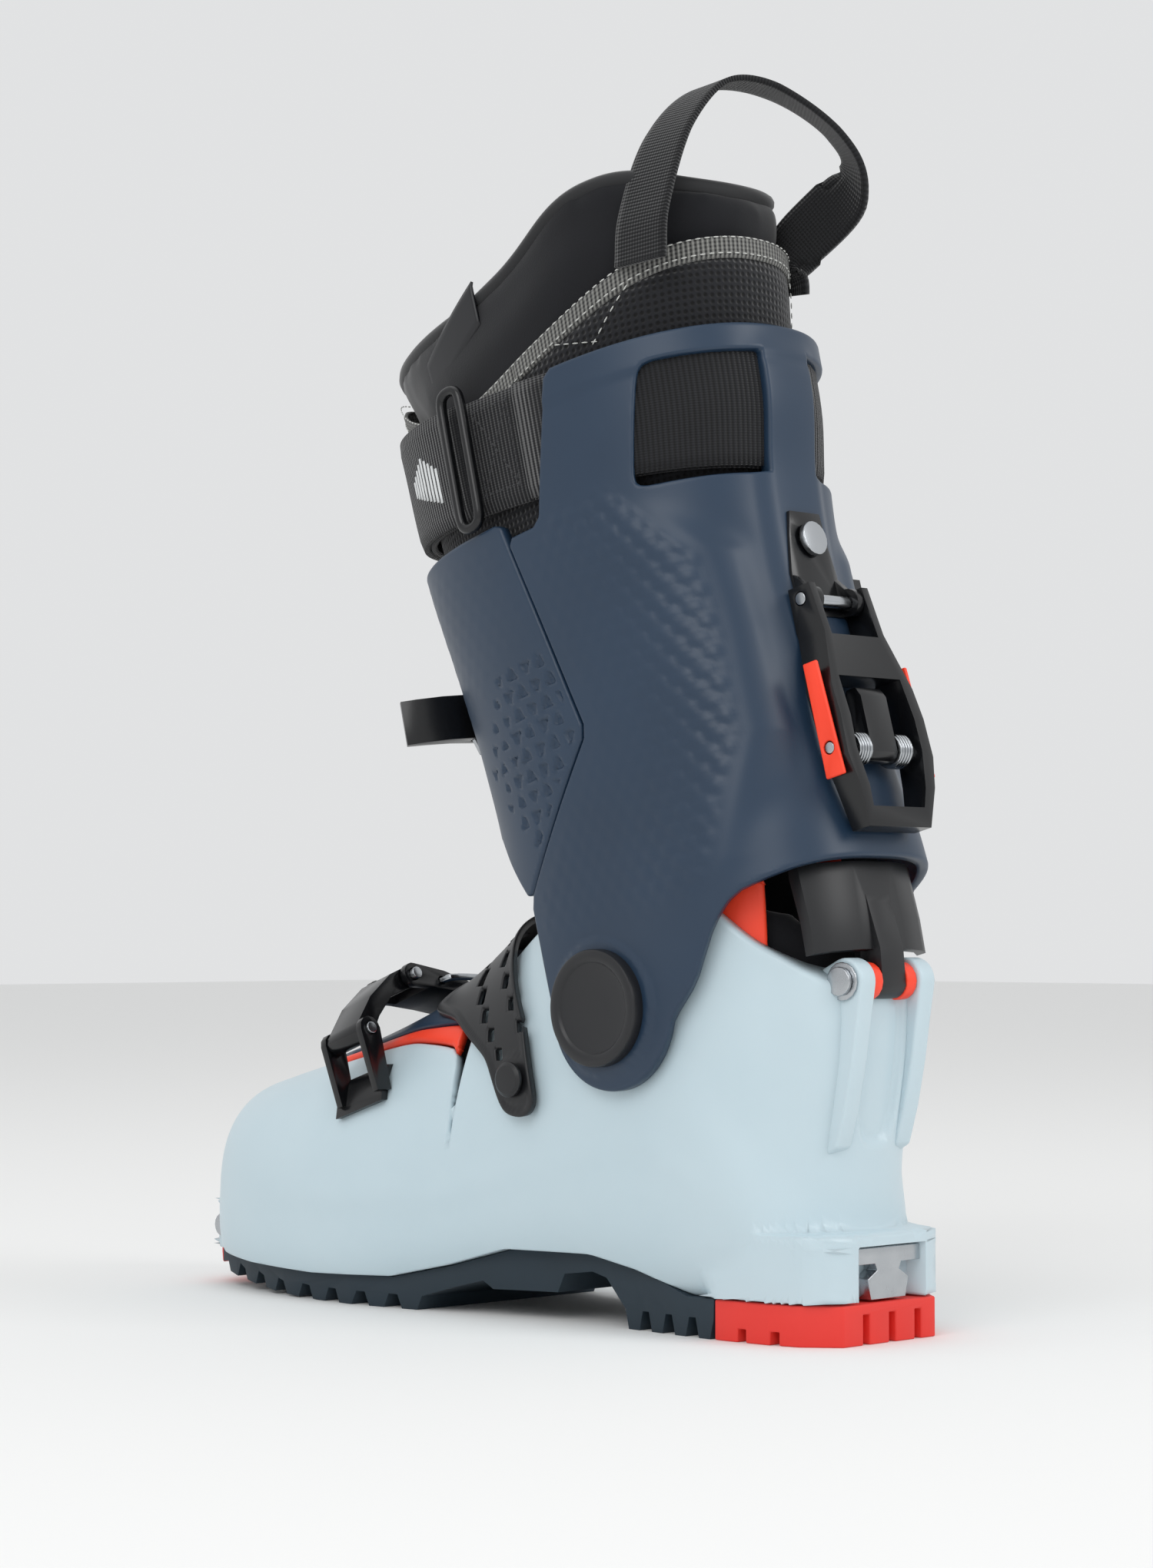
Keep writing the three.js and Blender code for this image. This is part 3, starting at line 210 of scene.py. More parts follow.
def legToHeel(points):
    p, y, q = np.asarray(points, float).reshape(-1, 3).T
    x = pivot[0] + p * math.cos(lean) + q * math.sin(lean)
    z = pivot[1] - p * math.sin(lean) + q * math.cos(lean)
    return np.stack([x, y, z], 1)


def toRow(points, leg=False):
    points = legToHeel(points) if leg else np.asarray(points, float).reshape(-1, 3)
    return (points - (treadMiddle, 0, 0)) / 1000


def grid(sides, steps, low=0.0, high=1.0):
    u, v = np.meshgrid(np.arange(sides) * 2 * math.pi / sides, np.linspace(low, high, steps + 1))
    i, j = np.meshgrid(np.arange(sides), np.arange(steps))
    a, b = i + j * sides, (i + 1) % sides + j * sides
    c, d = a + sides, b + sides
    tris = np.concatenate([np.stack([a, b, d], -1).reshape(-1, 3), np.stack([a, d, c], -1).reshape(-1, 3)])
    return np.stack([u.ravel(), v.ravel()], 1), tris


def splitAt(skin, field, *levels):
    # adds vertices where the field takes each level, so that an edge can run exactly there
    for level in levels:
        uv, tris = skin
        value = field(uv) - level
        value[np.abs(value) < 2e-3] = 0
        sign = np.sign(value)[tris]
        crossing = (sign.min(1) < 0) & (sign.max(1) > 0)
        s, cut = sign[crossing], tris[crossing]
        onLevel = (s == 0).any(1)
        first = np.where(onLevel, np.argmax(s == 0, 1), np.argmax(s == -s.sum(1)[:, None], 1))
        cut = np.take_along_axis(cut, (first[:, None] + np.arange(3)) % 3, 1)
        a, b, c = cut[~onLevel].T
        d, e, f = cut[onLevel].T
        edges = np.sort(np.concatenate([np.stack([a, b], 1), np.stack([a, c], 1), np.stack([e, f], 1)]), 1)
        edges, where = np.unique(edges, axis=0, return_inverse=True)
        where = where.ravel() + len(uv)
        i, j = edges.T
        t = (value[i] / (value[i] - value[j]))[:, None]
        step = uv[j] - uv[i]
        step[:, 0] = (step[:, 0] + math.pi) % (2 * math.pi) - math.pi
        n = len(a)
        m1, m2, m3 = where[:n], where[n : 2 * n], where[2 * n :]
        parts = [tris[~crossing]]
        for three in ((a, m1, m2), (m1, b, c), (m1, c, m2), (d, e, m3), (d, m3, f)):
            parts.append(np.stack(three, 1))
        skin = np.concatenate([uv, uv[i] + step * t]), np.concatenate(parts)
    return skin


def keepWhere(skin, field):
    uv, tris = skin
    tris = tris[field(uv)[tris].mean(1) > 0]
    used, where = np.unique(tris, return_inverse=True)
    return uv[used], where.reshape(-1, 3)


def inside(points, outline):
    # distance in from the outline, negative outside it
    outline = np.asarray(outline, float)
    best = np.full(len(points), 1e9)
    odd = np.zeros(len(points), bool)
    x, y = points.T
    for (x0, y0), (x1, y1) in zip(outline, np.roll(outline, -1, 0)):
        dx, dy = x1 - x0, y1 - y0
        t = np.clip(((x - x0) * dx + (y - y0) * dy) / max(dx * dx + dy * dy, 1e-9), 0, 1)
        best = np.minimum(best, np.hypot(x - x0 - t * dx, y - y0 - t * dy))
        if y1 != y0:
            odd ^= ((y0 > y) != (y1 > y)) & (x < dx * (y - y0) / dy + x0)
    return np.where(odd, best, -best)


def eased(outline, turns=2):
    # corners cut off twice over make a moulded, rounded outline
    for _ in range(turns):
        points = np.asarray(outline, float)
        after = np.roll(points, -1, 0)
        long = np.linalg.norm(after - points, axis=1)[:, None]
        bite = np.minimum(0.25, 2.5 / np.maximum(long, 1e-6))
        outline = np.stack([points + (after - points) * bite, after - (after - points) * bite], 1).reshape(-1, 2)
    return outline


def arc(cx, cy, radius, start, end, steps):
    turn = np.radians(np.linspace(start, end, steps + 1))
    return [(cx + radius * math.cos(a), cy + radius * math.sin(a)) for a in turn]


def rimDrop(distance, radius):
    # how far the face sinks as it rounds over into the rim
    near = np.clip(radius - distance, 0, radius)
    return radius - np.sqrt(np.maximum(radius**2 - near**2, 0))


def meshPiece(name, verts, faces, material, closeGap=2e-6):
    mesh = bpy.data.meshes.new(name)
    mesh.from_pydata([tuple(v) for v in verts], [], [tuple(int(i) for i in f) for f in faces])
    work = bmesh.new()
    work.from_mesh(mesh)
    bmesh.ops.remove_doubles(work, verts=work.verts, dist=closeGap)
    bmesh.ops.dissolve_degenerate(work, edges=work.edges, dist=closeGap)
    if work.calc_volume(signed=True) < 0:
        bmesh.ops.reverse_faces(work, faces=work.faces)
    work.to_mesh(mesh)
    work.free()
    mesh.shade_smooth()
    piece = bpy.data.objects.new(name, mesh)
    bpy.context.scene.collection.objects.link(piece)
    mesh.materials.append(material)
    return piece


def walled(name, skin, at, height, wall, material, leg=False):
    # a closed wall: the outer face at its own height, the inner one below it, and rims between
    uv, tris = skin
    count = len(uv)
    outer = height(uv) if callable(height) else at(uv, height)
    inner = wall(uv) if callable(wall) else at(uv, -wall)
    edges = np.concatenate([tris[:, [0, 1]], tris[:, [1, 2]], tris[:, [2, 0]]])
    code = np.sort(edges, 1)
    _, where, times = np.unique(code, axis=0, return_inverse=True, return_counts=True)
    rim = edges[times[where.ravel()] == 1]
    rims = np.concatenate([np.stack([rim[:, 1], rim[:, 0], rim[:, 0] + count], 1),
                           np.stack([rim[:, 1], rim[:, 0] + count, rim[:, 1] + count], 1)])
    faces = np.concatenate([tris, tris[:, ::-1] + count, rims])
    return meshPiece(name, toRow(np.concatenate([outer, inner]), leg), faces, material)


def refined(node, material, width=0.5, angle=32, name=None, also=()):
    # the same shape as the frame's part, with its mould edges rounded
    work = bmesh.new()
    work.from_mesh(frame["nodes"][node].data)
    bmesh.ops.remove_doubles(work, verts=work.verts, dist=2e-6)
    bmesh.ops.dissolve_limit(work, angle_limit=math.radians(1.5), verts=work.verts, edges=work.edges)
    mesh = bpy.data.meshes.new(name or node)
    work.to_mesh(mesh)
    work.free()
    piece = bpy.data.objects.new(name or node + "Finish", mesh)
    bpy.context.scene.collection.objects.link(piece)
    mesh.materials.clear()
    mesh.materials.append(material)
    bevel = piece.modifiers.new("mould edges", "BEVEL")
    bevel.width = width / 1000
    bevel.segments = 3
    bevel.limit_method = "ANGLE"
    bevel.angle_limit = math.radians(angle)
    bevel.harden_normals = False
    applied(piece)
    mesh = piece.data
    mesh.shade_smooth()
    mesh.set_sharp_from_angle(angle=math.radians(40))
    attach(piece, frame["nodes"][node]["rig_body"])
    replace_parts(piece, node, *also)
    return piece


def applied(piece):
    graph = bpy.context.evaluated_depsgraph_get()
    mesh = bpy.data.meshes.new_from_object(piece.evaluated_get(graph))
    piece.modifiers.clear()
    old = piece.data
    piece.data = mesh
    mesh.name = piece.name
    bpy.data.meshes.remove(old)
    return piece


# Materials


def surface(name, colour, second=None, rough=0.4, roughSpread=0.05, patch=30, grain=0.5, grainHeight=0.02,
            metal=0.0, coat=0.0, sheen=0.0, specular=0.5, soft=0.0):
    # sizes of the colour patches and of the grain are in millimetres
    material = bpy.data.materials.new(name)
    material.use_nodes = True
    tree = material.node_tree
    shader = tree.nodes["Principled BSDF"]
    place = addNode(tree, "ShaderNodeTexCoord").outputs["Object"]
    cloud = addNode(tree, "ShaderNodeTexNoise", {"Scale": 1000 / patch, "Detail": 4.0}, {"Vector": place})
    blend = addNode(tree, "ShaderNodeMix", {"data_type": "RGBA", 6: linear(colour), 7: linear(second or colour)},
                    {0: cloud.outputs["Fac"]})
    tree.links.new(blend.outputs[2], shader.inputs["Base Color"])
    fine = addNode(tree, "ShaderNodeTexNoise", {"Scale": 1000 / grain, "Detail": 3.0}, {"Vector": place})
    spread = addNode(tree, "ShaderNodeMapRange", {"To Min": rough - roughSpread, "To Max": rough + roughSpread},
                     {"Value": cloud.outputs["Fac"]})
    tree.links.new(spread.outputs["Result"], shader.inputs["Roughness"])
    bump = addNode(tree, "ShaderNodeBump", {"Strength": 0.35, "Distance": grainHeight / 1000},
                   {"Height": fine.outputs["Fac"]})
    tree.links.new(bump.outputs["Normal"], shader.inputs["Normal"])
    shader.inputs["Metallic"].default_value = metal
    shader.inputs["Coat Weight"].default_value = coat
    shader.inputs["Coat Roughness"].default_value = 0.12
    shader.inputs["Sheen Weight"].default_value = sheen
    shader.inputs["Sheen Roughness"].default_value = 0.45
    if metal < 0.5:
        shader.inputs["Specular IOR Level"].default_value = specular
    shader.inputs["Subsurface Weight"].default_value = soft
    shader.inputs["Subsurface Radius"].default_value = (0.004, 0.003, 0.003)
    shader.inputs["Subsurface Scale"].default_value = 0.6
    return material


def ribbed(name, colour, dark, across=1.0, along=1.3, height=0.25, rough=0.75):
    # woven goods: ribs along u and finer yarns along v of the piece's own map, which is in millimetres
    material = surface(name, colour, dark, rough=rough, patch=12, grain=0.35, sheen=0.25, specular=0.3)
    tree = material.node_tree
    shader = tree.nodes["Principled BSDF"]
    bump = next(n for n in tree.nodes if n.type == "BUMP")
    mapped = addNode(tree, "ShaderNodeUVMap", {"uv_map": "weave"}).outputs["UV"]
    parts = addNode(tree, "ShaderNodeSeparateXYZ", None, {"Vector": mapped})
    waves = []
    for axis, pitch in (("X", along), ("Y", across)):
        turn = addNode(tree, "ShaderNodeMath", {"operation": "MULTIPLY", 1: 2 * math.pi / pitch},
                       {0: parts.outputs[axis]})
        waves.append(addNode(tree, "ShaderNodeMath", {"operation": "SINE"}, {0: turn.outputs[0]}).outputs[0])
    weave = addNode(tree, "ShaderNodeMath", {"operation": "MULTIPLY_ADD", 1: 0.35}, {0: waves[1], 2: waves[0]})
    raised = addNode(tree, "ShaderNodeBump", {"Strength": 0.7, "Distance": height / 1000},
                     {"Height": weave.outputs[0], "Normal": bump.outputs["Normal"]})
    tree.links.new(raised.outputs["Normal"], shader.inputs["Normal"])
    # the colour follows the weave's height and is darker in its valleys: on the black webbing this is painted shade
    # between the ribs, and on the piping it is the real black yarns between the grey ones
    light = addNode(tree, "ShaderNodeMapRange", {"From Min": -1.2, "From Max": 1.2}, {"Value": weave.outputs[0]})
    tint = addNode(tree, "ShaderNodeMix", {"data_type": "RGBA", 6: linear(dark), 7: linear(colour)},
                   {0: light.outputs["Result"]})
    tree.links.new(tint.outputs[2], shader.inputs["Base Color"])
    return material


def holed(name, colour, dark, cell=2.2, rough=0.85):
    # knitted spacer mesh: dark eyelets in rows, a cell apart
    material = surface(name, colour, dark, rough=rough, patch=15, grain=0.3, sheen=0.3, specular=0.3)
    tree = material.node_tree
    shader = tree.nodes["Principled BSDF"]
    mapped = addNode(tree, "ShaderNodeUVMap", {"uv_map": "weave"}).outputs["UV"]
    eyes = addNode(tree, "ShaderNodeTexVoronoi", {"Scale": 1 / cell, "Randomness": 0.12}, {"Vector": mapped})
    edge = addNode(tree, "ShaderNodeMapRange", {"From Min": 0.18, "From Max": 0.42},
                   {"Value": eyes.outputs["Distance"]})
    # the eyelets take the darker colour: painted shade inside the holes of the black knit
    tint = addNode(tree, "ShaderNodeMix", {"data_type": "RGBA", 6: linear(dark), 7: linear(colour)},
                   {0: edge.outputs["Result"]})
    tree.links.new(tint.outputs[2], shader.inputs["Base Color"])
    raised = addNode(tree, "ShaderNodeBump", {"Strength": 0.8, "Distance": 0.0004}, {"Height": edge.outputs["Result"]})
    tree.links.new(raised.outputs["Normal"], shader.inputs["Normal"])
    return material


# injection-moulded polyamide: satin, a little light passes into it
shellNylon = surface("moulded pale polyamide", "#bfd2da", "#c8d9e0", rough=0.36, grain=0.6, grainHeight=0.03, soft=0.08)
# carbon-filled nylon: darker, with a soft broad highlight
cuffNylon = surface("carbon filled navy nylon", "#1c3045", "#21374e", rough=0.4, grain=0.5, grainHeight=0.03)
# glass-filled nylon hardware: black and glossy
glossNylon = surface("glossy black nylon", "#0b0c0e", "#101114", rough=0.24, grain=1.2, grainHeight=0.02)
# soft polyurethane of straps and caps: black satin
softBlack = surface("black satin polyurethane", "#121316", "#17181b", rough=0.42, grain=0.5, grainHeight=0.03)
# soft coral elastomer: bright and half matt
coralRubber = surface("coral thermoplastic rubber", "#ff3f20", "#ff4a2b", rough=0.42, grain=0.5, soft=0.05)
# moulded red sole rubber: bright, dry
redRubber = surface("red sole rubber", "#e22f26", "#ea3a30", rough=0.55, grain=0.4, grainHeight=0.05)
# carbon-black sole rubber tinted navy: dull with a fine tooth
navyRubber = surface("navy sole rubber", "#182832", "#1f303c", rough=0.6, grain=0.5, grainHeight=0.06)
# machined and tumbled stainless steel: bright, softly streaked
steel = surface("tumbled stainless steel", "#c2c5c8", "#aeb2b6", rough=0.26, patch=6, grain=0.25, metal=1.0)
# neoprene foam with a jersey face: deep black, a trace of fuzz at the edges
# thin bright wire, drawn smooth, so its highlights run along it
wireSteel = surface("drawn steel wire", "#b9bcbf", "#a3a7ab", rough=0.2, patch=4, grain=0.2, metal=1.0)
# a soft matt black, so that the dish reads as a shadow ring
capBlack = surface("pivot cap nylon", "#141518", "#1a1b1f", rough=0.38, grain=0.4, grainHeight=0.02)
foamJersey = surface("neoprene jersey", "#0d0e12", "#14151a", rough=0.85, patch=9, grain=0.45, grainHeight=0.12,
                     sheen=0.35, specular=0.25)
# rolled knit binding over the rim
bindingKnit = surface("binding tape", "#0a0b0d", "#15161a", rough=0.7, grain=0.6, grainHeight=0.15, sheen=0.3)
# bonded polyester thread: off-white
thread = surface("bonded polyester thread", "#cfd0cc", "#b9bab6", rough=0.6, grain=0.2, sheen=0.2)
threadDark = surface("black bonded thread", "#1b1c20", "#26272b", rough=0.6, grain=0.2, sheen=0.2)
# screen ink on webbing
ink = surface("white screen ink", "#e4e6e6", "#d5d8d9", rough=0.6, grain=0.3)
# pressed wood-fibre board of the footbed base
fibreBoard = surface("fibre board", "#33373c", "#3c4046", rough=0.7, grain=0.8, grainHeight=0.1)
# black satin of the blank label on the collar
satinLabel = surface("black satin label", "#101115", "#17181d", rough=0.38, grain=0.3)
webbing = ribbed("black nylon webbing", "#1d1e22", "#060608", across=0.8, along=1.7)
loopWeave = ribbed("black loop webbing", "#1a1b1e", "#070709", across=1.1, along=1.2)
greyPiping = ribbed("grey twill piping", "#8e8e8a", "#1e1e20", across=1.3, along=1.6, height=0.4)
spacerMesh = holed("spacer mesh", "#191a1e", "#030304")
print("stage: materials made")


# Lower shell

lowerShellLook = {
    "wall": 4,
    "rim": 1.3,          # rounding of the upper edge
    "ledgeTop": 33,
    "toeLedgeTop": 29.3,
    "earIn": 10.4,
    "earOut": 17.4,
    "slotDepth": 7,
    "boltHole": 8.3,
}

soleSides = {
    1: [(-3, 22.5), (4, 30), (20, 33.5), (42, 34), (80, 31), (112, 31.5), (150, 39), (toe - 97, 44), (toe - 60, 42),
        (toe - 30, 35), (toe - 12, 29), (toe, 19)],
    -1: [(-3, 20), (4, 27.5), (20, 31), (42, 31.5), (80, 31), (112, 31.5), (150, 39), (toe - 97, 47), (toe - 60, 45),
         (toe - 30, 35), (toe - 12, 29), (toe, 19)],
}


def solePlan(low, high, grow=0.0):
    xs = np.linspace(low, high, int((high - low) / 6) + 2)
    halves = [np.interp(xs, *zip(*soleSides[side])) + grow for side in (1, -1)]
    return [*zip(xs, -halves[1]), *zip(xs[::-1], halves[0][::-1])]


plasticLine = [(-20, soleLine), (50, soleLine), (70, 19), (88, 22.5), (124, 22), (148, 15.5), (172, 10.5),
               (toe - 80, 9.5), (toe - 45, 10.5), (toe - 14, 12.6), (toe + 20, 13)]
upperEdge = [(-30, 108), (6, 108.5), (22, 118), (36, 130), (60, 138), (100, 134), (118, 124), (134, 112), (140, 108)]


def throatField(points, grow):
    # distance out from the edge of the instep opening
    x, y, z = points.T
    half, back, front = 33 + grow, 176, toe - 42 + grow
    plan = [(-80, -90), (140, -90), (146, -half - 4), (back, -half + 3), (front - 26, -25 - grow),
            *arc(front - 17, 0, 17 + grow * 0.6, -70, 70, 10), (front - 26, 25 + grow), (back, half - 3),
            (146, half + 4), (140, 90), (-80, 90)]
    top = [*upperEdge, (146, 45), (330, 45), (330, 330), (-80, 330), (-80, 108)]
    across = inside(points[:, :2], eased(plan))
    up = inside(points[:, [0, 2]], eased(top))
    return -np.minimum(across, up)


def shellField(uv):
    points = shellPoint(uv)
    hole = np.hypot(points[:, 0] - pivot[0], points[:, 2] - pivot[1]) - lowerShellLook["boltHole"]
    return np.minimum(throatField(points, 0), hole)


def soleGap(uv):
    points = shellPoint(uv)
    return points[:, 2] - np.interp(points[:, 0], *zip(*plasticLine))


def boxField(points, low, high, mirror=False):
    # distance into a box
    points = points.copy()
    if mirror:
        points[:, 1] = np.abs(points[:, 1])
    return np.minimum((points - low).min(1), (high - points).min(1))


def insertSlot(points):
    return boxField(points, (-20, -15.5, -20), (12, 15.5, 28.8))


def sidePocket(points):
    return boxField(points, (-20, 17.5, 18), (6, 24, 26), mirror=True)


def channel(points):
    # the rounded pocket between the ears
    x, y, z = points.T
    return np.where(x < 40, inside(np.stack([y, z], 1), eased([(-9, 130), (-8.4, 66), (-5, 58), (5, 58), (8.4, 66),
                                                                (9, 130)], 3)), -99)


def flank(points):
    # how much of the rear flank stands out towards the ears, with a facet on each side of them
    x, y, z = points.T
    y = np.abs(y)
    rise = smooth(z, 44, 100) * 5.5
    out = 1 - smooth(y, lowerShellLook["earOut"] - 1, 32)
    return np.where(x < 45, rise * out, 0)


def shellOuter(uv):
    look = lowerShellLook
    flat = shellPoint(uv)
    height = -rimDrop(shellField(uv), look["rim"])
    height = height + flank(flat) - 3.2 * smooth(channel(flat), -0.2, 1.4)
    # a soft crease runs from the heel ledge up the side
    x, y, z = flat.T
    crease = z - np.interp(x, [20, 60, 110, 150, 230], [34, 60, 50, 38, 34])
    height = height + 0.5 * np.exp(-((crease / 5) ** 2)) * smooth(x, 20, 50) * (1 - smooth(x, 200, 235))
    points = shellPoint(uv, height)
    base = np.interp(flat[:, 0], *zip(*plasticLine))
    onWall = soleGap(uv) >= -0.01
    for plan, top in ((solePlan(-3, 44, 1), look["ledgeTop"]), (solePlan(toe - 44, toe, 1), look["toeLedgeTop"])):
        flatPlan = points[:, :2].copy()
        depth = inside(flatPlan, plan)
        step = 0.4
        moved = [inside(flatPlan + way, plan) - depth for way in ((step, 0), (0, step))]
        slope = np.stack(moved, 1) / step
        share = smooth(top - points[:, 2], -0.05, 0.9) ** 0.5
        push = np.where(onWall & (depth > 0), depth, 0) * share
        points[:, :2] -= slope * push[:, None]
    points[:, 0] += np.where(onWall, look["slotDepth"] * smooth(insertSlot(flat), -0.15, 0.15), 0)
    points[:, 0] += np.where(onWall, 2.5 * smooth(sidePocket(flat), -0.15, 0.15), 0)
    points[:, 2] = np.maximum(points[:, 2], base)
    return points


def shellInner(uv):
    points = shellPoint(uv, -lowerShellLook["wall"])
    points[:, 2] = np.maximum(points[:, 2], np.interp(points[:, 0], *zip(*plasticLine)) + 3)
    return points


def makeLowerShell():
    look = lowerShellLook
    skin = grid(200, 210, -noseCap, 0.97)
    skin = splitAt(skin, shellField, 0)
    skin = keepWhere(skin, shellField)
    rim = look["rim"]
    skin = splitAt(skin, shellField, rim * 0.13, rim * 0.5, rim)
    skin = splitAt(skin, soleGap, 0, 0.5)
    for top in (look["ledgeTop"], look["toeLedgeTop"]):
        skin = splitAt(skin, lambda uv: shellPoint(uv)[:, 2] - top, 0, -0.25, -0.9)
    skin = splitAt(skin, lambda uv: insertSlot(shellPoint(uv)), -0.15, 0.15)
    skin = splitAt(skin, lambda uv: sidePocket(shellPoint(uv)), -0.15, 0.15)
    skin = splitAt(skin, lambda uv: channel(shellPoint(uv)), -0.2, 0.6, 1.4)
    shell = walled("lowerShell", skin, shellPoint, shellOuter, shellInner, shellNylon)
    return shell


def prism(outline, low, high, plane="xz"):
    # a side-view outline made solid from low to high, as vertices and faces
    count = len(outline)
    verts = []
    for y in (low, high):
        verts += [(a, y, b) if plane == "xz" else ((a, b, y) if plane == "xy" else (y, a, b)) for a, b in outline]
    faces = [list(range(count))[::-1], [count + i for i in range(count)]]
    faces += [[i, (i + 1) % count, count + (i + 1) % count, count + i] for i in range(count)]
    return verts, faces


def joined(name, material, *pieces):
    # pieces that are one moulding become one object
    work = bmesh.new()
    for piece in pieces:
        work.from_mesh(piece.data)
        bpy.data.objects.remove(piece)
    mesh = bpy.data.meshes.new(name)
    work.to_mesh(mesh)
    work.free()
    piece = bpy.data.objects.new(name, mesh)
    bpy.context.scene.collection.objects.link(piece)
    mesh.materials.append(material)
    return piece


def bevelled(piece, width, segments=3, angle=35):
    bevel = piece.modifiers.new("rounding", "BEVEL")
    bevel.width = width / 1000
    bevel.segments = segments
    bevel.limit_method = "ANGLE"
    bevel.angle_limit = math.radians(angle)
    applied(piece)
    piece.data.shade_smooth()
    piece.data.set_sharp_from_angle(angle=math.radians(38))
    return piece


axle = (1, 107.5)
earOutline = [*arc(*axle, 7, 60, 190, 14), (-4.2, 96), (-2.4, 84), (0.5, 70), (4, 58), (14, 52), (22, 62), (28, 90),
              (16, 108)]


def makeEars():
    ears = []
    for side in (1, -1):
        low, high = sorted((side * lowerShellLook["earIn"], side * lowerShellLook["earOut"]))
        verts, faces = prism(earOutline, low, high)
        ears.append(bevelled(meshPiece("ear", toRow(verts), faces, shellNylon), 1.0))
    return ears


shell = joined("lowerShell", shellNylon, makeLowerShell(), *makeEars())
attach(shell, "shell")
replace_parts(shell, "lower_shell")
print("stage: lower shell", len(shell.data.polygons))


# Cuff

cuffLook = {
    "rim": 1.1,
    "spineHalf": 10.5,
    "hexPitch": 5.8,
    "domeHeight": 0.75,
    "crestHeight": 2.6,
    "notchPitch": 6.6,
    "notchDepth": 0.9,
}
cuffPoint = legPoint(cuffRows)
lobe = arc(-2.5, 0, 26, 202, 372, 30)
ridge = [(25.8, 40), (-13.9, 84), (4, cuffTop - 46)]
strutFoot = (-11, cuffTop - 46)
cuffOutline = [(-110, 30), (-76, 26.5), (-56, 22), (-48.5, 15), (-38, -1), *lobe, (24, 19), *ridge, strutFoot,
               (-25, cuffTop), (-110, cuffTop)]
windowOutline = eased([(-110, cuffTop - 48), (-47, cuffTop - 46), (-56, cuffTop - 8), (-110, cuffTop - 10)], 3)
crest = [(-24, -10), (-36, 10), (-52, 32), (-65.7, 69), (-64.4, 101), (-61.5, 127), (-44, 152), (-34, 175)]


def cuffField(uv):
    points = cuffPoint(uv)
    side = points[:, [0, 2]]
    body = inside(side, eased(cuffOutline, 1))
    window = np.minimum(inside(side, windowOutline), np.abs(points[:, 1]) - cuffLook["spineHalf"])
    hole = 8.3 - np.hypot(points[:, 0], points[:, 2])
    return np.minimum(body, -np.maximum(window, hole))


def acrossCrest(points):
    # forward of the crest line is positive
    q = points[:, 2]
    line = np.interp(q, [c[1] for c in crest], [c[0] for c in crest])
    return points[:, 0] - line


def hexDomes(s, q, pitch):
    # height 0 to 1 over a honeycomb of domes
    row = pitch * math.sqrt(3) / 2
    best = np.full(len(s), 1e9)
    for shift in (0, 1):
        j = 2 * np.round((q / row - shift) / 2) + shift
        centre = np.round(s / pitch - shift / 2) + shift / 2
        best = np.minimum(best, np.hypot(s - centre * pitch, q - j * row))
    return np.clip(1 - (best / (pitch * 0.56)) ** 2, 0, 1)


def sideways(points):
    # distance round the leg from its side, so that patterns keep their pitch over the front and the back
    x, y = points[:, 0], np.abs(points[:, 1])
    return 52 * np.arctan2(x + 8, y + 6) - 8


def cuffOuter(uv):
    look = cuffLook
    points = cuffPoint(uv)
    p, y, q = points.T
    field = cuffField(uv)
    height = -rimDrop(field, look["rim"])
    ahead = acrossCrest(points)
    onSide = smooth(np.abs(y), 16, 26)
    crestRise = np.where(ahead > 0, np.exp(-((ahead / 20) ** 2)), np.exp(-((ahead / 7) ** 2)))
    span = smooth(q, 2, 30) * (1 - smooth(q, 128, 150))
    height += look["crestHeight"] * crestRise * onSide * span
    # the hollow between the crest and the spine behind the heel
    height -= 1.6 * smooth(-ahead, 4, 16) * onSide * smooth(q, 36, 60) * (1 - smooth(q, 118, 140))
    # the spine that carries the lever
    spine = 1 - smooth(np.abs(y), 9, 17)
    height += 1.7 * spine * (p < -50) * smooth(q, 84, 104) * (1 - smooth(q, cuffTop - 16, cuffTop - 2))
    # a flat flange round the upper rim and along the window
    height += 0.7 * smooth(q, cuffTop - 12, cuffTop - 9)
    # honeycomb, full along the crest and fading forward
    zone = np.minimum(field - 4, 60)
    strength = smooth(zone, 0, 3) * smooth(ahead, 1, 5) * (0.28 + 0.72 * (1 - smooth(ahead, 12, 44)))
    strength *= smooth(q, 18, 34) * (1 - smooth(q, cuffTop - 50, cuffTop - 40)) * smooth(np.abs(y), 8, 14)
    height += look["domeHeight"] * strength * hexDomes(sideways(points), q, look["hexPitch"])
    # a turned boss round the pivot cap
    boss = np.hypot(p, q)
    height += 0.8 * (1 - smooth(boss, 20.5, 21.5))
    return cuffPoint(uv, height)


def makeCuff():
    look = cuffLook
    skin = grid(330, 172)
    skin = splitAt(skin, cuffField, 0)
    skin = keepWhere(skin, cuffField)
    rim = look["rim"]
    skin = splitAt(skin, cuffField, rim * 0.13, rim * 0.5, rim)
    return walled("cuffShell", skin, cuffPoint, cuffOuter, cuffWall, cuffNylon, leg=True)


cuff = makeCuff()
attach(cuff, "cuff")
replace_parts(cuff, "cuff")

panelOutline = [(26.3, 40.2), (-13.3, 84), (4.5, cuffTop - 46), (6, cuffTop - 40), (120, cuffTop - 36), (120, 72),
                (46, 66), (39.6, 57)]


def panelField(uv):
    return inside(cuffPoint(uv)[:, [0, 2]], eased(panelOutline, 1))


def notches():
    # triangles and trapezoids in rows that slant with the ridge, largest next to it
    pitch = cuffLook["notchPitch"]
    shapes = []
    for row in range(9):
        for column in range(7):
            s = -5 + column * pitch + (row % 2) * pitch / 2 + max(0, 84 - 58 - row * pitch) * 0.55
            q = 58 + row * pitch
            if abs(s - 4) + abs(q - 84) * 0.6 > 34:
                continue
            half = pitch * (0.4 if column < 4 else 0.3)
            flip = 1 if (row + column) % 2 else -1
            shapes.append([(s - half, q - flip * half * 0.8), (s + half, q - flip * half * 0.8),
                           (s + half * 0.25, q + flip * half * 0.85), (s - half * 0.25, q + flip * half * 0.85)])
    return shapes


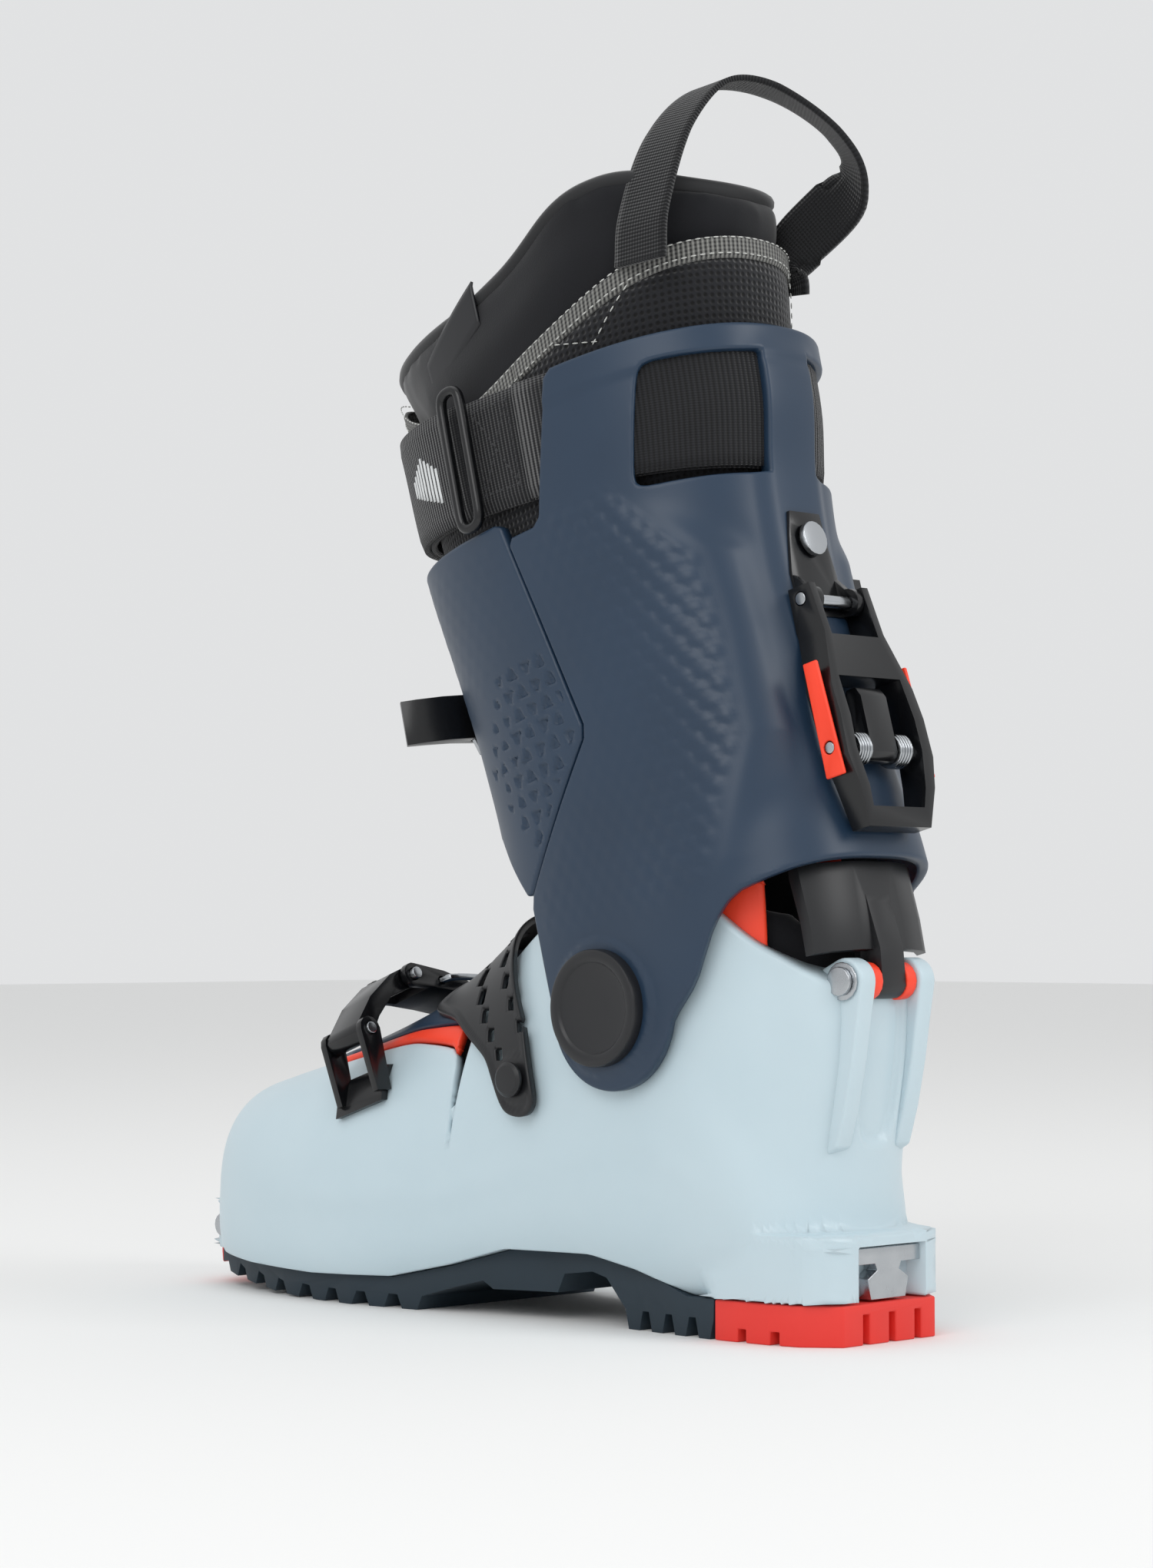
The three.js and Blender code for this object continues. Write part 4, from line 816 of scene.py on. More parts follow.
notchShapes = notches()


def notchField(uv):
    points = cuffPoint(uv)
    flat = np.stack([sideways(points) + 2, points[:, 2]], 1)
    best = np.full(len(flat), -9.0)
    near = (flat[:, 0] > -25) & (flat[:, 0] < 48) & (flat[:, 1] > 50) & (flat[:, 1] < 122)
    for shape in notchShapes:
        best[near] = np.maximum(best[near], inside(flat[near], shape))
    return best


def panelOuter(uv):
    look = cuffLook
    points = cuffPoint(uv)
    p, y, q = points.T
    field = panelField(uv)
    height = -rimDrop(field, look["rim"])
    height -= look["notchDepth"] * smooth(notchField(uv), 0.0, 0.55) * smooth(field, 2.5, 3.5)
    faint = 0.2 * smooth(field, 3, 6) * (notchField(uv) < -4) * smooth(q, 96, 110)
    height += look["domeHeight"] * faint * hexDomes(sideways(points), q, look["hexPitch"])
    return cuffPoint(uv, height)


def makePanel():
    skin = grid(250, 172)
    skin = splitAt(skin, panelField, 0)
    skin = keepWhere(skin, panelField)
    rim = cuffLook["rim"]
    skin = splitAt(skin, panelField, rim * 0.13, rim * 0.5, rim)
    skin = splitAt(skin, notchField, 0.0, 0.55)
    return walled("cuffFrontPanel", skin, cuffPoint, panelOuter, cuffWall, cuffNylon, leg=True)


panel = makePanel()
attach(panel, "cuff")
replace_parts(panel, "cuff_front_panel")
print("stage: cuff", len(cuff.data.polygons), len(panel.data.polygons))


# Flap, seal, gaiter and instep strap

flapLook = {"rise": 1.6, "depth": 3.8, "sealRise": 1.0, "strip": 3.2, "gap": 0.3}


def patch(name, at, field, rise, depth, material, sides, steps, low=0.0, high=1.0, rim=0.8, detail=None, leg=False,
          cuts=()):
    # a sheet-like moulding on a form: its face at rise, with its edge rounded
    skin = grid(sides, steps, low, high)
    skin = splitAt(skin, field, 0)
    skin = keepWhere(skin, field)
    skin = splitAt(skin, field, rim * 0.13, rim * 0.5, rim)
    for other, levels in cuts:
        skin = splitAt(skin, other, *levels)

    def outer(uv):
        height = rise - rimDrop(field(uv), rim)
        return at(uv, height + (detail(uv) if detail else 0))

    return walled(name, skin, at, outer, lambda uv: at(uv, rise - depth), material, leg=leg)


def instepOnly(points):
    return points[:, 0] - 147


def flapField(uv):
    points = shellPoint(uv)
    return np.minimum(-throatField(points, -0.6 - flapLook["strip"]), instepOnly(points))


def sealField(uv):
    points = shellPoint(uv)
    edge = -throatField(points, -flapLook["gap"])
    return np.minimum(np.minimum(edge, flapLook["strip"] - edge), instepOnly(points))


def flapRibs(uv):
    points = shellPoint(uv)
    return 0.5 * np.exp(-(((np.abs(points[:, 1]) - 9) / 1.1) ** 2))


flap = patch("instepFlap", shellPoint, flapField, flapLook["rise"], flapLook["depth"], cuffNylon, 260, 170, 0.05, 0.7,
             detail=flapRibs)
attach(flap, "shell")
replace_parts(flap, "instep_flap")
seal = patch("throatSeal", shellPoint, sealField, flapLook["sealRise"], 3.4, coralRubber, 320, 220, 0.05, 0.7, rim=1.2)
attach(seal, "shell")
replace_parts(seal, "throat_seal")

gaiterOutline = [(-60, 100), (6, 101), (22, 108), (36, 120), (60, 128), (98, 126), (112, 118), (126, 108), (152, 108),
                 (150, 122), (134, 136), (112, 148), (84, 152), (50, 147), (24, 138), (10, 131), (-60, 128)]


def gaiterField(uv):
    points = shellPoint(uv, -4.3)
    x, y, z = points.T
    behind = np.where(x < 45, np.abs(y) - 28, 99)
    front = np.where(x > 80, np.maximum(108 - x, np.abs(y) - 30), 99)
    hole = np.hypot(x - pivot[0], z - pivot[1]) - 13
    return np.minimum.reduce([inside(points[:, [0, 2]], eased(gaiterOutline)), behind, front, hole])


gaiter = patch("ankleGaiter", shellPoint, gaiterField, -4.3, 2.4, coralRubber, 220, 190, 0.35, 1.0, rim=1.0)
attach(gaiter, "shell")
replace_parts(gaiter, "ankle_gaiter")

strapLook = {"rise": 4.4, "thick": 2.4, "holeRows": 2, "holes": 6, "rim": 0.8}
strapEdge = eased([(103, 69), (107, 64), (117, 65), (127, 82), (150, 94), (170, 96), (166, 122), (140, 132),
                   (124, 114), (110, 93)], 3)


def strapHoles():
    # two rows of slanted holes along the strap, larger towards the instep
    holes = []
    for row in range(strapLook["holeRows"]):
        for i in range(strapLook["holes"]):
            t = i / (strapLook["holes"] - 1)
            x = 116.5 + 30 * t + (9 - 4 * t) * (row - 0.5)
            z = 88 + 32 * t - (9 + 5 * t) * (row - 0.5)
            w, h = 2.0 + 0.9 * t, 1.7 + 1.1 * t
            holes.append([(x - w, z - h), (x + w * 0.5, z - h * 1.1), (x + w, z + h), (x - w * 0.5, z + h * 1.1)])
    return holes


instepHoles = strapHoles()
strapRivet = (112.5, 76)


def strapField(uv):
    points = shellPoint(uv, 3)
    side = points[:, [0, 2]]
    field = np.minimum(inside(side, strapEdge), points[:, 1] + 14)
    near = (points[:, 1] > 0) & (field > -1)
    for hole in instepHoles:
        field[near] = np.minimum(field[near], -inside(side[near], hole))
    return np.minimum(field, np.where(points[:, 1] > 0, np.hypot(side[:, 0] - strapRivet[0],
                                                                 side[:, 1] - strapRivet[1]) - 3.3, 99))


def strapRidge(uv):
    # a raised border, and a boss round the rivet
    points = shellPoint(uv, 3)
    side = points[:, [0, 2]]
    border = inside(side, strapEdge)
    boss = np.hypot(side[:, 0] - strapRivet[0], side[:, 1] - strapRivet[1])
    return -0.5 * smooth(border, 1.6, 2.6) * smooth(boss, 7, 8.5)


instepStrap = patch("instepStrap", shellPoint, strapField, strapLook["rise"], strapLook["thick"], softBlack, 420, 360,
                    0.3, 0.8, rim=strapLook["rim"], detail=strapRidge)
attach(instepStrap, "shell")
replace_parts(instepStrap, "instep_strap")
print("stage: flap and straps", len(instepStrap.data.polygons))


# Liner

collarLook = {
    "foam": 8,
    "voxel": 4,
    "pressure": 4,
    "frames": 20,
    "cap": 2.0,          # how far the cloth may swell
    "pipingWidth": 7,
    "bindingRadius": 3.0,
}
collarPoint = legPoint(collarRows)
footTop = 68
rimCurve = [(-110, 243), (-92, 243), (-76, 246), (-57, 256), (-36, 255), (-13, 241), (12, 235), (44, 234), (110, 232)]
pipingCurve = [(-110, 224), (-75, 225), (-56, 222), (-26, 210), (5, 200), (30, 196), (60, 212), (74, 226), (110, 232)]


def along(curve, p):
    # a smooth run through the points of a side-view line
    xs, ys = zip(*curve)
    near = np.stack([np.interp(p + shift, xs, ys) for shift in np.linspace(-8, 8, 9)])
    return near.mean(0)


def collarField(uv):
    points = collarPoint(uv)
    p, y, q = points.T
    lower = np.minimum(np.hypot(p, q) - footTop - 4, q - 74)
    return np.minimum(along(rimCurve, p) - q - 1, lower)


def padded(name, skin, at, inset, wall, material, leg, cap, hold=None):
    # swells the foam by cloth simulation, then takes one subdivision
    piece = walled(name, skin, at, inset, wall, material, leg=leg)
    remesh = piece.modifiers.new("voxels", "REMESH")
    remesh.mode = "VOXEL"
    remesh.voxel_size = collarLook["voxel"] / 1000
    applied(piece)
    before = np.array([v.co for v in piece.data.vertices])
    cloth = piece.modifiers.new("swell", "CLOTH")
    cloth.settings.use_pressure = True
    cloth.settings.uniform_pressure_force = collarLook["pressure"]
    cloth.settings.effector_weights.gravity = 0
    cloth.settings.quality = 4
    cloth.point_cache.frame_start = 1
    cloth.point_cache.frame_end = collarLook["frames"]
    scene = bpy.context.scene
    for frameNumber in range(1, collarLook["frames"] + 1):
        scene.frame_set(frameNumber)
    applied(piece)
    scene.frame_set(1)
    after = np.array([v.co for v in piece.data.vertices])
    if len(after) == len(before):
        step = after - before
        size = np.linalg.norm(step, axis=1)[:, None]
        share = np.minimum(1, cap / 1000 / np.maximum(size, 1e-9))
        if hold:
            share *= hold(before)[:, None]
        after = before + step * share
        piece.data.vertices.foreach_set("co", after.ravel())
    finer = piece.modifiers.new("finer", "SUBSURF")
    finer.levels = finer.render_levels = 1
    applied(piece)
    piece.data.shade_smooth()
    return piece


def trimmed(at, field, sides, steps, low=0.0, high=1.0):
    skin = splitAt(grid(sides, steps, low, high), field, 0)
    return keepWhere(skin, field)


def collarFace(uv):
    # the foam is drawn in along the piping seam and puffs above and below it
    points = collarPoint(uv)
    seam = points[:, 2] - along(pipingCurve, points[:, 0])
    rim = collarField(uv)
    height = -1.6 - rimDrop(rim, 2.6) - 0.9 * np.exp(-((seam / 6) ** 2)) + 0.6 * smooth(seam, 4, 14)
    return collarPoint(uv, height)


def heldAtRim(points):
    # the tape keeps the rim from swelling
    dx, dz = points[:, 0] * 1000 + treadMiddle - pivot[0], points[:, 2] * 1000 - pivot[1]
    p = math.cos(lean) * dx - math.sin(lean) * dz
    q = math.sin(lean) * dx + math.cos(lean) * dz
    return smooth(along(rimCurve, p) - q, 5, 24)


collar = padded("linerCollar", trimmed(collarPoint, collarField, 150, 100), collarPoint, collarFace,
                lambda uv: collarPoint(uv, -collarLook["foam"] + 0.8 + rimDrop(collarField(uv), 2.4)), foamJersey, True,
                collarLook["cap"], heldAtRim)
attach(collar, "cuff")
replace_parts(collar, "liner_collar")


def tongueField(uv):
    points = collarPoint(uv, -8.5)
    p, y, q = points.T
    return np.minimum.reduce([25.5 - np.abs(y) - 0.05 * np.maximum(q - 150, 0), q - 92, 236 - (p - 40) * 0.02 - q,
                              p - 24])


tongue = padded("linerTongue", trimmed(collarPoint, tongueField, 160, 90), collarPoint,
                lambda uv: collarPoint(uv, -9.4 - rimDrop(tongueField(uv), 2)),
                lambda uv: collarPoint(uv, -12.6 + rimDrop(tongueField(uv), 1.5)), foamJersey, True, 1.2)
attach(tongue, "cuff")
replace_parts(tongue, "liner_tongue")

footInset = -8.9


def footField(uv):
    points = shellPoint(uv, footInset)
    x, y, z = points.T
    over = [(-30, 118), (10, 122), *arc(*pivot, footTop - 1, 150, 40, 16), (138, 129), (330, 56), (330, -40),
            (-30, -40)]
    front = np.where(x > 92, np.abs(y) - 16, np.where((x > 74) & (z > 122), np.abs(y) - 19, 99))
    front = np.where((x > 86) & (x < 196) & (z > 50), front, 99)
    hole = np.hypot(x - pivot[0], z - pivot[1]) - 12.5
    return np.minimum.reduce([inside(points[:, [0, 2]], over), hole, front])


def footOuter(uv):
    points = shellPoint(uv, footInset - rimDrop(footField(uv), 2))
    points[:, 2] = np.maximum(points[:, 2], np.interp(points[:, 0], [-30, 60, 86, 124, 150, 180, 300],
                                                      [23.6, 23.6, 32.6, 32, 25.6, 20.6, 20.6]))
    return points


def footInner(uv):
    points = shellPoint(uv, footInset - 5.4 + rimDrop(footField(uv), 1.5))
    points[:, 2] = np.maximum(points[:, 2], np.interp(points[:, 0], [-30, 60, 86, 124, 150, 180, 300],
                                                      [27, 27, 36, 35.5, 29, 24, 24]))
    return points


foot = padded("linerFoot", trimmed(shellPoint, footField, 90, 90, -noseCap * 0.98, 0.9), shellPoint, footOuter,
              footInner, foamJersey, False, 1.0)
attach(foot, "shell")
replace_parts(foot, "liner_foot")
print("stage: liner", len(collar.data.polygons))


# Fabric on the liner, webbing and stitching


def band(name, rows, lower, upper, height, thick, material, start, end, steps, across=10, rim=0.5):
    # a strip that follows a form between two side-view lines; its own map runs in millimetres
    at = legPoint(rows)
    fine = np.linspace(0, 1, 900)
    heights = between(rows, fine)[:, 0]
    share = np.linspace(0, 1, across + 1)
    verts, flat = [], []
    run = 0.0
    for angle in np.linspace(start, end, steps + 1):
        p = 0.0
        for _ in range(2):
            low, high = lower(p), upper(p)
            p = at(np.array([[angle, np.interp((low + high) / 2, heights, fine)]]))[0, 0]
        q = low + (high - low) * share
        edge = np.minimum(share, 1 - share) * (high - low)
        uv = np.stack([np.full(across + 1, angle), np.interp(q, heights, fine)], 1)
        row = at(uv, height - rimDrop(edge, rim))
        if verts:
            run += np.linalg.norm(row[across // 2] - verts[-1][across // 2])
        verts.append(row)
        flat.append(np.stack([np.full(across + 1, run), q - low], 1))
    return ribbonMesh(name, np.concatenate(verts), np.concatenate(flat), steps + 1, across + 1, thick, material, True)


def ribbonMesh(name, outer, flat, rows, cols, thick, material, leg):
    spots = outer.reshape(rows, cols, 3)
    du = np.gradient(spots, axis=0)
    dv = np.gradient(spots, axis=1)
    normal = np.cross(du, dv)
    normal /= np.maximum(np.linalg.norm(normal, axis=2, keepdims=True), 1e-9)
    if leg:
        centre = np.array([-8.0, 0, 0])
        away = spots - centre
        away[..., 2] = 0
        normal *= np.sign((normal * away).sum(2, keepdims=True))
    inner = (spots - normal * thick).reshape(-1, 3)
    i, j = np.meshgrid(np.arange(rows - 1), np.arange(cols - 1), indexing="ij")
    a = (i * cols + j).ravel()
    quads = np.stack([a, a + cols, a + cols + 1, a + 1], 1)
    count = rows * cols
    loop = [k for k in range(cols)] + [r * cols + cols - 1 for r in range(1, rows)]
    loop += [(rows - 1) * cols + k for k in range(cols - 2, -1, -1)] + [r * cols for r in range(rows - 2, 0, -1)]
    rims = [[loop[k], loop[(k + 1) % len(loop)], loop[(k + 1) % len(loop)] + count, loop[k] + count]
            for k in range(len(loop))]
    faces = [list(f) for f in quads] + [list(f[::-1] + count) for f in quads] + rims
    mesh = bpy.data.meshes.new(name)
    points = toRow(np.concatenate([outer, inner]), leg)
    mesh.from_pydata([tuple(v) for v in points], [], [tuple(int(x) for x in f) for f in faces])
    layer = mesh.uv_layers.new(name="weave")
    both = np.concatenate([flat, flat])
    index = np.zeros(len(mesh.loops), int)
    mesh.loops.foreach_get("vertex_index", index)
    layer.data.foreach_set("uv", both[index].ravel())
    work = bmesh.new()
    work.from_mesh(mesh)
    bmesh.ops.recalc_face_normals(work, faces=work.faces)
    if work.calc_volume(signed=True) < 0:
        bmesh.ops.reverse_faces(work, faces=work.faces)
    work.to_mesh(mesh)
    work.free()
    mesh.shade_smooth()
    mesh.materials.append(material)
    piece = bpy.data.objects.new(name, mesh)
    bpy.context.scene.collection.objects.link(piece)
    return piece


def angleAt(p, y, rows, q):
    # the turn round the form that passes through a place on it
    tries = np.linspace(0, 2 * math.pi, 1441)
    share = np.interp(q, [r[0] for r in rows], np.linspace(0, 1, len(rows)))
    points = legPoint(rows)(np.stack([tries, np.full(len(tries), share)], 1))
    return tries[np.argmin(np.hypot(points[:, 0] - p, points[:, 1] - y))]


strapLook = {
    "drop": 46,          # from the cuff's top to the strap's lower edge, at the back
    "back": -95,
    "slope": 0.11,
    "width": 38,
    "thick": 2.0,
}


def strapLow(p):
    return cuffTop - strapLook["drop"] + (p - strapLook["back"]) * strapLook["slope"]


def strapHigh(p):
    return strapLow(p) + strapLook["width"]


fullTurn = 2 * math.pi - 0.002
powerStrap = band("powerStrap", strapRows, strapLow, strapHigh, -cuffWall - 0.5, strapLook["thick"], webbing, 0,
                  fullTurn, 240)
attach(powerStrap, "cuff")
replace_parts(powerStrap, "power_strap")

# the strap's loose end passes through the ring and is sewn back on itself
ringP = 17
ringAngle = angleAt(ringP + 2, 45, strapRows, 172)
for name, start, end, steps in (("strapFrontLayer", ringAngle, angleAt(60, -26, strapRows, 180), 90),
                                ("strapSewnLayer", angleAt(-9, 49, strapRows, 172), ringAngle - 0.03, 40)):
    layer = band(name, strapRows, strapLow, strapHigh, -cuffWall + 2.0, strapLook["thick"], webbing, start, end,
                 steps)
    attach(layer, "cuff")


# fabric panel of spacer mesh below the piping, the piping, and the binding on the rim
def pipingAt(p):
    return float(along(pipingCurve, np.array([p]))[0])


def rimAt(p):
    return float(along(rimCurve, np.array([p]))[0])


meshPanel = band("meshPanel", collarRows, lambda p: 150.0, lambda p: pipingAt(p) - 1, 0.4, 1.2, spacerMesh, 0,
                 fullTurn, 220)
pipingHalf = collarLook["pipingWidth"] / 2
piping = band("piping", collarRows, lambda p: pipingAt(p) - pipingHalf, lambda p: pipingAt(p) + pipingHalf,
              1.0, 1.2, greyPiping, 0,
              fullTurn, 260, across=8, rim=0.7)
for piece in (meshPanel, piping):
    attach(piece, "cuff")


def tube(name, points, radius, material, leg, closed=False, body="cuff", flat=1.0, smoothing=4):
    curve = bpy.data.curves.new(name, "CURVE")
    curve.dimensions = "3D"
    spline = curve.splines.new("NURBS")
    places = toRow(points, leg)
    spline.points.add(len(places) - 1)
    for point, place in zip(spline.points, places):
        point.co = (*place, 1)
    spline.use_cyclic_u = closed
    spline.use_endpoint_u = not closed
    spline.order_u = 4
    curve.bevel_depth = radius / 1000
    curve.bevel_resolution = smoothing
    curve.use_fill_caps = True
    curve.resolution_u = 4
    piece = bpy.data.objects.new(name, curve)
    bpy.context.scene.collection.objects.link(piece)
    mesh = bpy.data.meshes.new_from_object(piece.evaluated_get(bpy.context.evaluated_depsgraph_get()))
    bpy.data.objects.remove(piece)
    mesh.shade_smooth()
    mesh.materials.clear()
    mesh.materials.append(material)
    piece = bpy.data.objects.new(name, mesh)
    bpy.context.scene.collection.objects.link(piece)
    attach(piece, body)
    return piece


def ringOn(rows, line, height, count):
    # points right round a form at the height that a side-view line gives
    at = legPoint(rows)
    fine = np.linspace(0, 1, 900)
    heights = between(rows, fine)[:, 0]
    points = []
    for angle in np.linspace(0, 2 * math.pi, count, endpoint=False):
        p = 0.0
        for _ in range(3):
            q = line(p)
            p = at(np.array([[angle, np.interp(q, heights, fine)]]), height)[0, 0]
        points.append(at(np.array([[angle, np.interp(q, heights, fine)]]), height)[0])
    return np.array(points)


tube("rimBinding", ringOn(collarRows, lambda p: rimAt(p) - 2.8, -4.0, 120), collarLook["bindingRadius"],
     bindingKnit, True, closed=True)


# Stitches by Geometry Nodes: a dash at each pitch along a path


def stitchTree(material):
    tree = bpy.data.node_groups.new("stitches", "GeometryNodeTree")
    for name, kind in (("Geometry", "NodeSocketGeometry"), ("Pitch", "NodeSocketFloat"), ("Length", "NodeSocketFloat"),
                       ("Thickness", "NodeSocketFloat")):
        tree.interface.new_socket(name, in_out="INPUT", socket_type=kind)
    tree.interface.new_socket("Geometry", in_out="OUTPUT", socket_type="NodeSocketGeometry")
    given = addNode(tree, "NodeGroupInput").outputs
    points = addNode(tree, "GeometryNodeResampleCurve", {"mode": "LENGTH"},
                     {"Curve": given["Geometry"], "Length": given["Pitch"]})
    dots = addNode(tree, "GeometryNodeCurveToPoints", {"mode": "EVALUATED"}, {"Curve": points.outputs["Curve"]})
    dash = addNode(tree, "GeometryNodeMeshUVSphere", {"Segments": 6, "Rings": 4, "Radius": 0.5})
    size = addNode(tree, "ShaderNodeCombineXYZ", None, {"X": given["Thickness"], "Y": given["Thickness"],
                                                        "Z": given["Length"]})
    shaped = addNode(tree, "GeometryNodeTransform", None, {"Geometry": dash.outputs["Mesh"], "Scale": size.outputs[0]})
    placed = addNode(tree, "GeometryNodeInstanceOnPoints", None,
                     {"Points": dots.outputs["Points"], "Instance": shaped.outputs["Geometry"],
                      "Rotation": dots.outputs["Rotation"]})
    real = addNode(tree, "GeometryNodeRealizeInstances", None, {"Geometry": placed.outputs["Instances"]})
    done = addNode(tree, "GeometryNodeSetMaterial", {"Material": material}, {"Geometry": real.outputs["Geometry"]})
    addNode(tree, "NodeGroupOutput", None, {"Geometry": done.outputs["Geometry"]})
    return tree


stitchTrees = {kind: stitchTree(kind) for kind in (thread, threadDark)}


def stitches(name, lines, kind=None, leg=True, pitch=3.2, length=2.2, thickness=0.55, body="cuff"):
    kind = kind or thread
    curve = bpy.data.curves.new(name, "CURVE")
    curve.dimensions = "3D"
    for line in lines:
        spline = curve.splines.new("POLY")
        places = toRow(line, leg)
        spline.points.add(len(places) - 1)
        for point, place in zip(spline.points, places):
            point.co = (*place, 1)
    piece = bpy.data.objects.new(name, curve)
    bpy.context.scene.collection.objects.link(piece)
    modifier = piece.modifiers.new("stitches", "NODES")
    modifier.node_group = stitchTrees[kind]
    sockets = {item.name: item.identifier for item in stitchTrees[kind].interface.items_tree if item.in_out == "INPUT"}
    for label, value in (("Pitch", pitch), ("Length", length), ("Thickness", thickness)):
        modifier[sockets[label]] = value / 1000
    mesh = bpy.data.meshes.new_from_object(piece.evaluated_get(bpy.context.evaluated_depsgraph_get()))
    bpy.data.objects.remove(piece)
    mesh.shade_smooth()
    if not mesh.materials:
        mesh.materials.append(kind)
    piece = bpy.data.objects.new(name, mesh)
    bpy.context.scene.collection.objects.link(piece)
    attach(piece, body)
    return piece


pipingSeams = [np.vstack([line, line[:1]]) for line in (ringOn(collarRows, lambda p: pipingAt(p) + s, 1.15, 160)
                                                        for s in (-2.5, 2.5))]
stitches("pipingStitches", pipingSeams, pitch=3.0, length=2.0, thickness=0.5)


def onForm(rows, height, places):
    # leg points on a form at (p, q) places of its inner side
    at = legPoint(rows)
    fine = np.linspace(0, 1, 900)
    heights = between(rows, fine)[:, 0]
    tries = np.linspace(0, 2 * math.pi, 1441)
    found = []
    for p, q, side in places:
        share = np.interp(q, heights, fine)
        points = at(np.stack([tries, np.full(len(tries), share)], 1), height)
        gap = np.abs(points[:, 0] - p) + np.where(np.sign(points[:, 1]) == side, 0, 1e3)
        found.append(points[np.argmin(gap)])
    return np.array(found)


def lineBetween(a, b, count=12):
    return [tuple(np.array(a) + (np.array(b) - np.array(a)) * i / (count - 1)) for i in range(count)]


# the pull loop's ends are caught in two V seams on the mesh panel
for side, centre in ((1, -40), (-1, -60)):
    left, low, right = (centre - 13, pipingAt(centre - 13) - 4), (centre, 203), (centre + 13, pipingAt(centre + 13) - 4)
    vee = [onForm(collarRows, 0.9, [(*place, side) for place in lineBetween(a, b)])
           for a, b in ((left, low), (low, right))]
    stitches("loopSeam" + ("Inner" if side > 0 else "Outer"), vee, pitch=3.4, length=2.3, thickness=0.5)

# the strap's sewn end: a box with crossed seams
boxLow, boxHigh = strapLow(0) + 5, strapLow(0) + 33
corners = [(-6, boxLow), (10, boxLow + 1.5), (10, boxHigh + 1.5), (-6, boxHigh)]
runs = [(corners[i], corners[(i + 1) % 4]) for i in range(4)] + [(corners[0], corners[2]), (corners[1], corners[3])]
seams = [onForm(strapRows, -cuffWall + 2.15, [(*place, 1) for place in lineBetween(a, b)]) for a, b in runs]
stitches("strapStitches", seams, kind=threadDark, pitch=2.4, length=1.8, thickness=0.5)

loopPoints = np.array([(-63, 39, 221), (-66, 36, 238), (-72, 24, 264), (-80, 8, 279), (-90, -9, 276), (-100, -24, 259),
                       (-97, -31, 244)], float)
loopEnd = onForm(collarRows, 1.3, [(-70, pipingAt(-70) + 5, -1), (-66, pipingAt(-66) - 6, -1)])
loopPoints = np.vstack([loopPoints, loopEnd])
loopLook = {"width": 20, "thick": 1.7, "steps": 110}


def makeLoop():
    # webbing that leaves the liner on the inner side, arches over and comes back behind
    rows = [tuple(point) for point in loopPoints]
    spots = between(rows, np.linspace(0, 1, loopLook["steps"] + 1))
    run = np.concatenate([[0], np.cumsum(np.linalg.norm(np.diff(spots, axis=0), axis=1))])
    ahead = np.gradient(spots, axis=0)
    out = np.stack([spots[:, 0] + 62, spots[:, 1], (spots[:, 2] - 228) * 1.2 + 4], 1)
    across = np.cross(ahead, out)
    across /= np.linalg.norm(across, axis=1)[:, None]
    s = np.linspace(-1, 1, 9)
    half = loopLook["width"] / 2
    outer = spots[:, None, :] + across[:, None, :] * (s * half)[None, :, None]
    flat = np.stack(np.broadcast_arrays(run[:, None], (s * half)[None, :] + half), -1)
    return ribbonMesh("pullLoop", outer.reshape(-1, 3), flat.reshape(-1, 2), len(run), len(s), loopLook["thick"],
                      loopWeave, True)


loop = makeLoop()
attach(loop, "cuff")
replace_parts(loop, "pull_loop")

# blank satin label on the inner side of the collar
label = band("linerLabel", collarRows, lambda p: 216 - (p - 22) * 0.5, lambda p: 231 - (p - 22) * 0.5, 0.2, 0.9,
             satinLabel,
             angleAt(34, 36, collarRows, 222), angleAt(4, 46, collarRows, 230), 24)
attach(label, "cuff")


def makeRing():
    # a bent wire buckle with rounded corners that the strap turns through
    low, high = strapLow(ringP) - 4, strapHigh(ringP) + 4
    y = cuffHalf + 2.4
    flat = eased([(ringP - 4.4, low), (ringP + 4.4, low), (ringP + 4.4, high), (ringP - 4.4, high)], 3)
    return tube("strapRing", [(p, y, q) for p, q in flat], 1.75, glossNylon, True, closed=True,
                smoothing=5)


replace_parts(makeRing(), "strap_ring")


# a hatched block printed on the front of the strap
def hatch(name, start, end, low, high):
    piece = band(name, strapRows, lambda p: strapLow(p) + low, lambda p: strapLow(p) + high, -cuffWall + 2.2, 0.5, ink,
                 start, end, 6, across=4, rim=0.0)
    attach(piece, "cuff")


for i in range(9):
    turn = angleAt(34 + i * 2.6, 40, strapRows, 180)
    hatch(f"strapHatch{i}", turn - 0.008, turn + 0.008, 9 + i * 0.8, 27 - abs(i - 4) * 1.5)
print("stage: fabric")


# Hardware: the frame's own shapes with rounded mould edges


hardware = (
    (steel, "steel", 0.25, ("heel_insert", "toe_insert_inner", "toe_insert_outer", "heel_axle", "axle_washer_inner",
                            "axle_washer_outer", "pivot_bolt_inner", "pivot_bolt_outer", "lever_pin",
                            "roller_pin", "spring_roller_inner", "spring_roller_outer", "forefoot_arm_pin",
                            "forefoot_lever_pin", "instep_lever_pin", "cuff_lever_pin")),
    (wireSteel, "steel", 0.2, ("forefoot_bail", "cuff_bail")),
    (glossNylon, "black_plastic", 0.7, ("lever_bracket", "lever_frame", "release_arm", "cuff_buckle_base", "cuff_lever",
                                        "forefoot_bracket", "forefoot_arm", "forefoot_lever", "instep_base",
                                        "instep_lever")),
    (softBlack, "black_plastic", 0.4, ("walk_link", "forefoot_rack", "cuff_rack")),
    (coralRubber, "orange_plastic", 0.5, ("axle_bush_inner", "axle_bush_outer", "lever_inlay_inner",
                                          "lever_inlay_outer")),
    (fibreBoard, "board_plastic", 0.8, ("boot_board",)),
    (navyRubber, "sole_rubber", 0.5, ("outsole",)),
    (redRubber, "heel_rubber", 0.6, ("heel_tread", "toe_tread")),
)
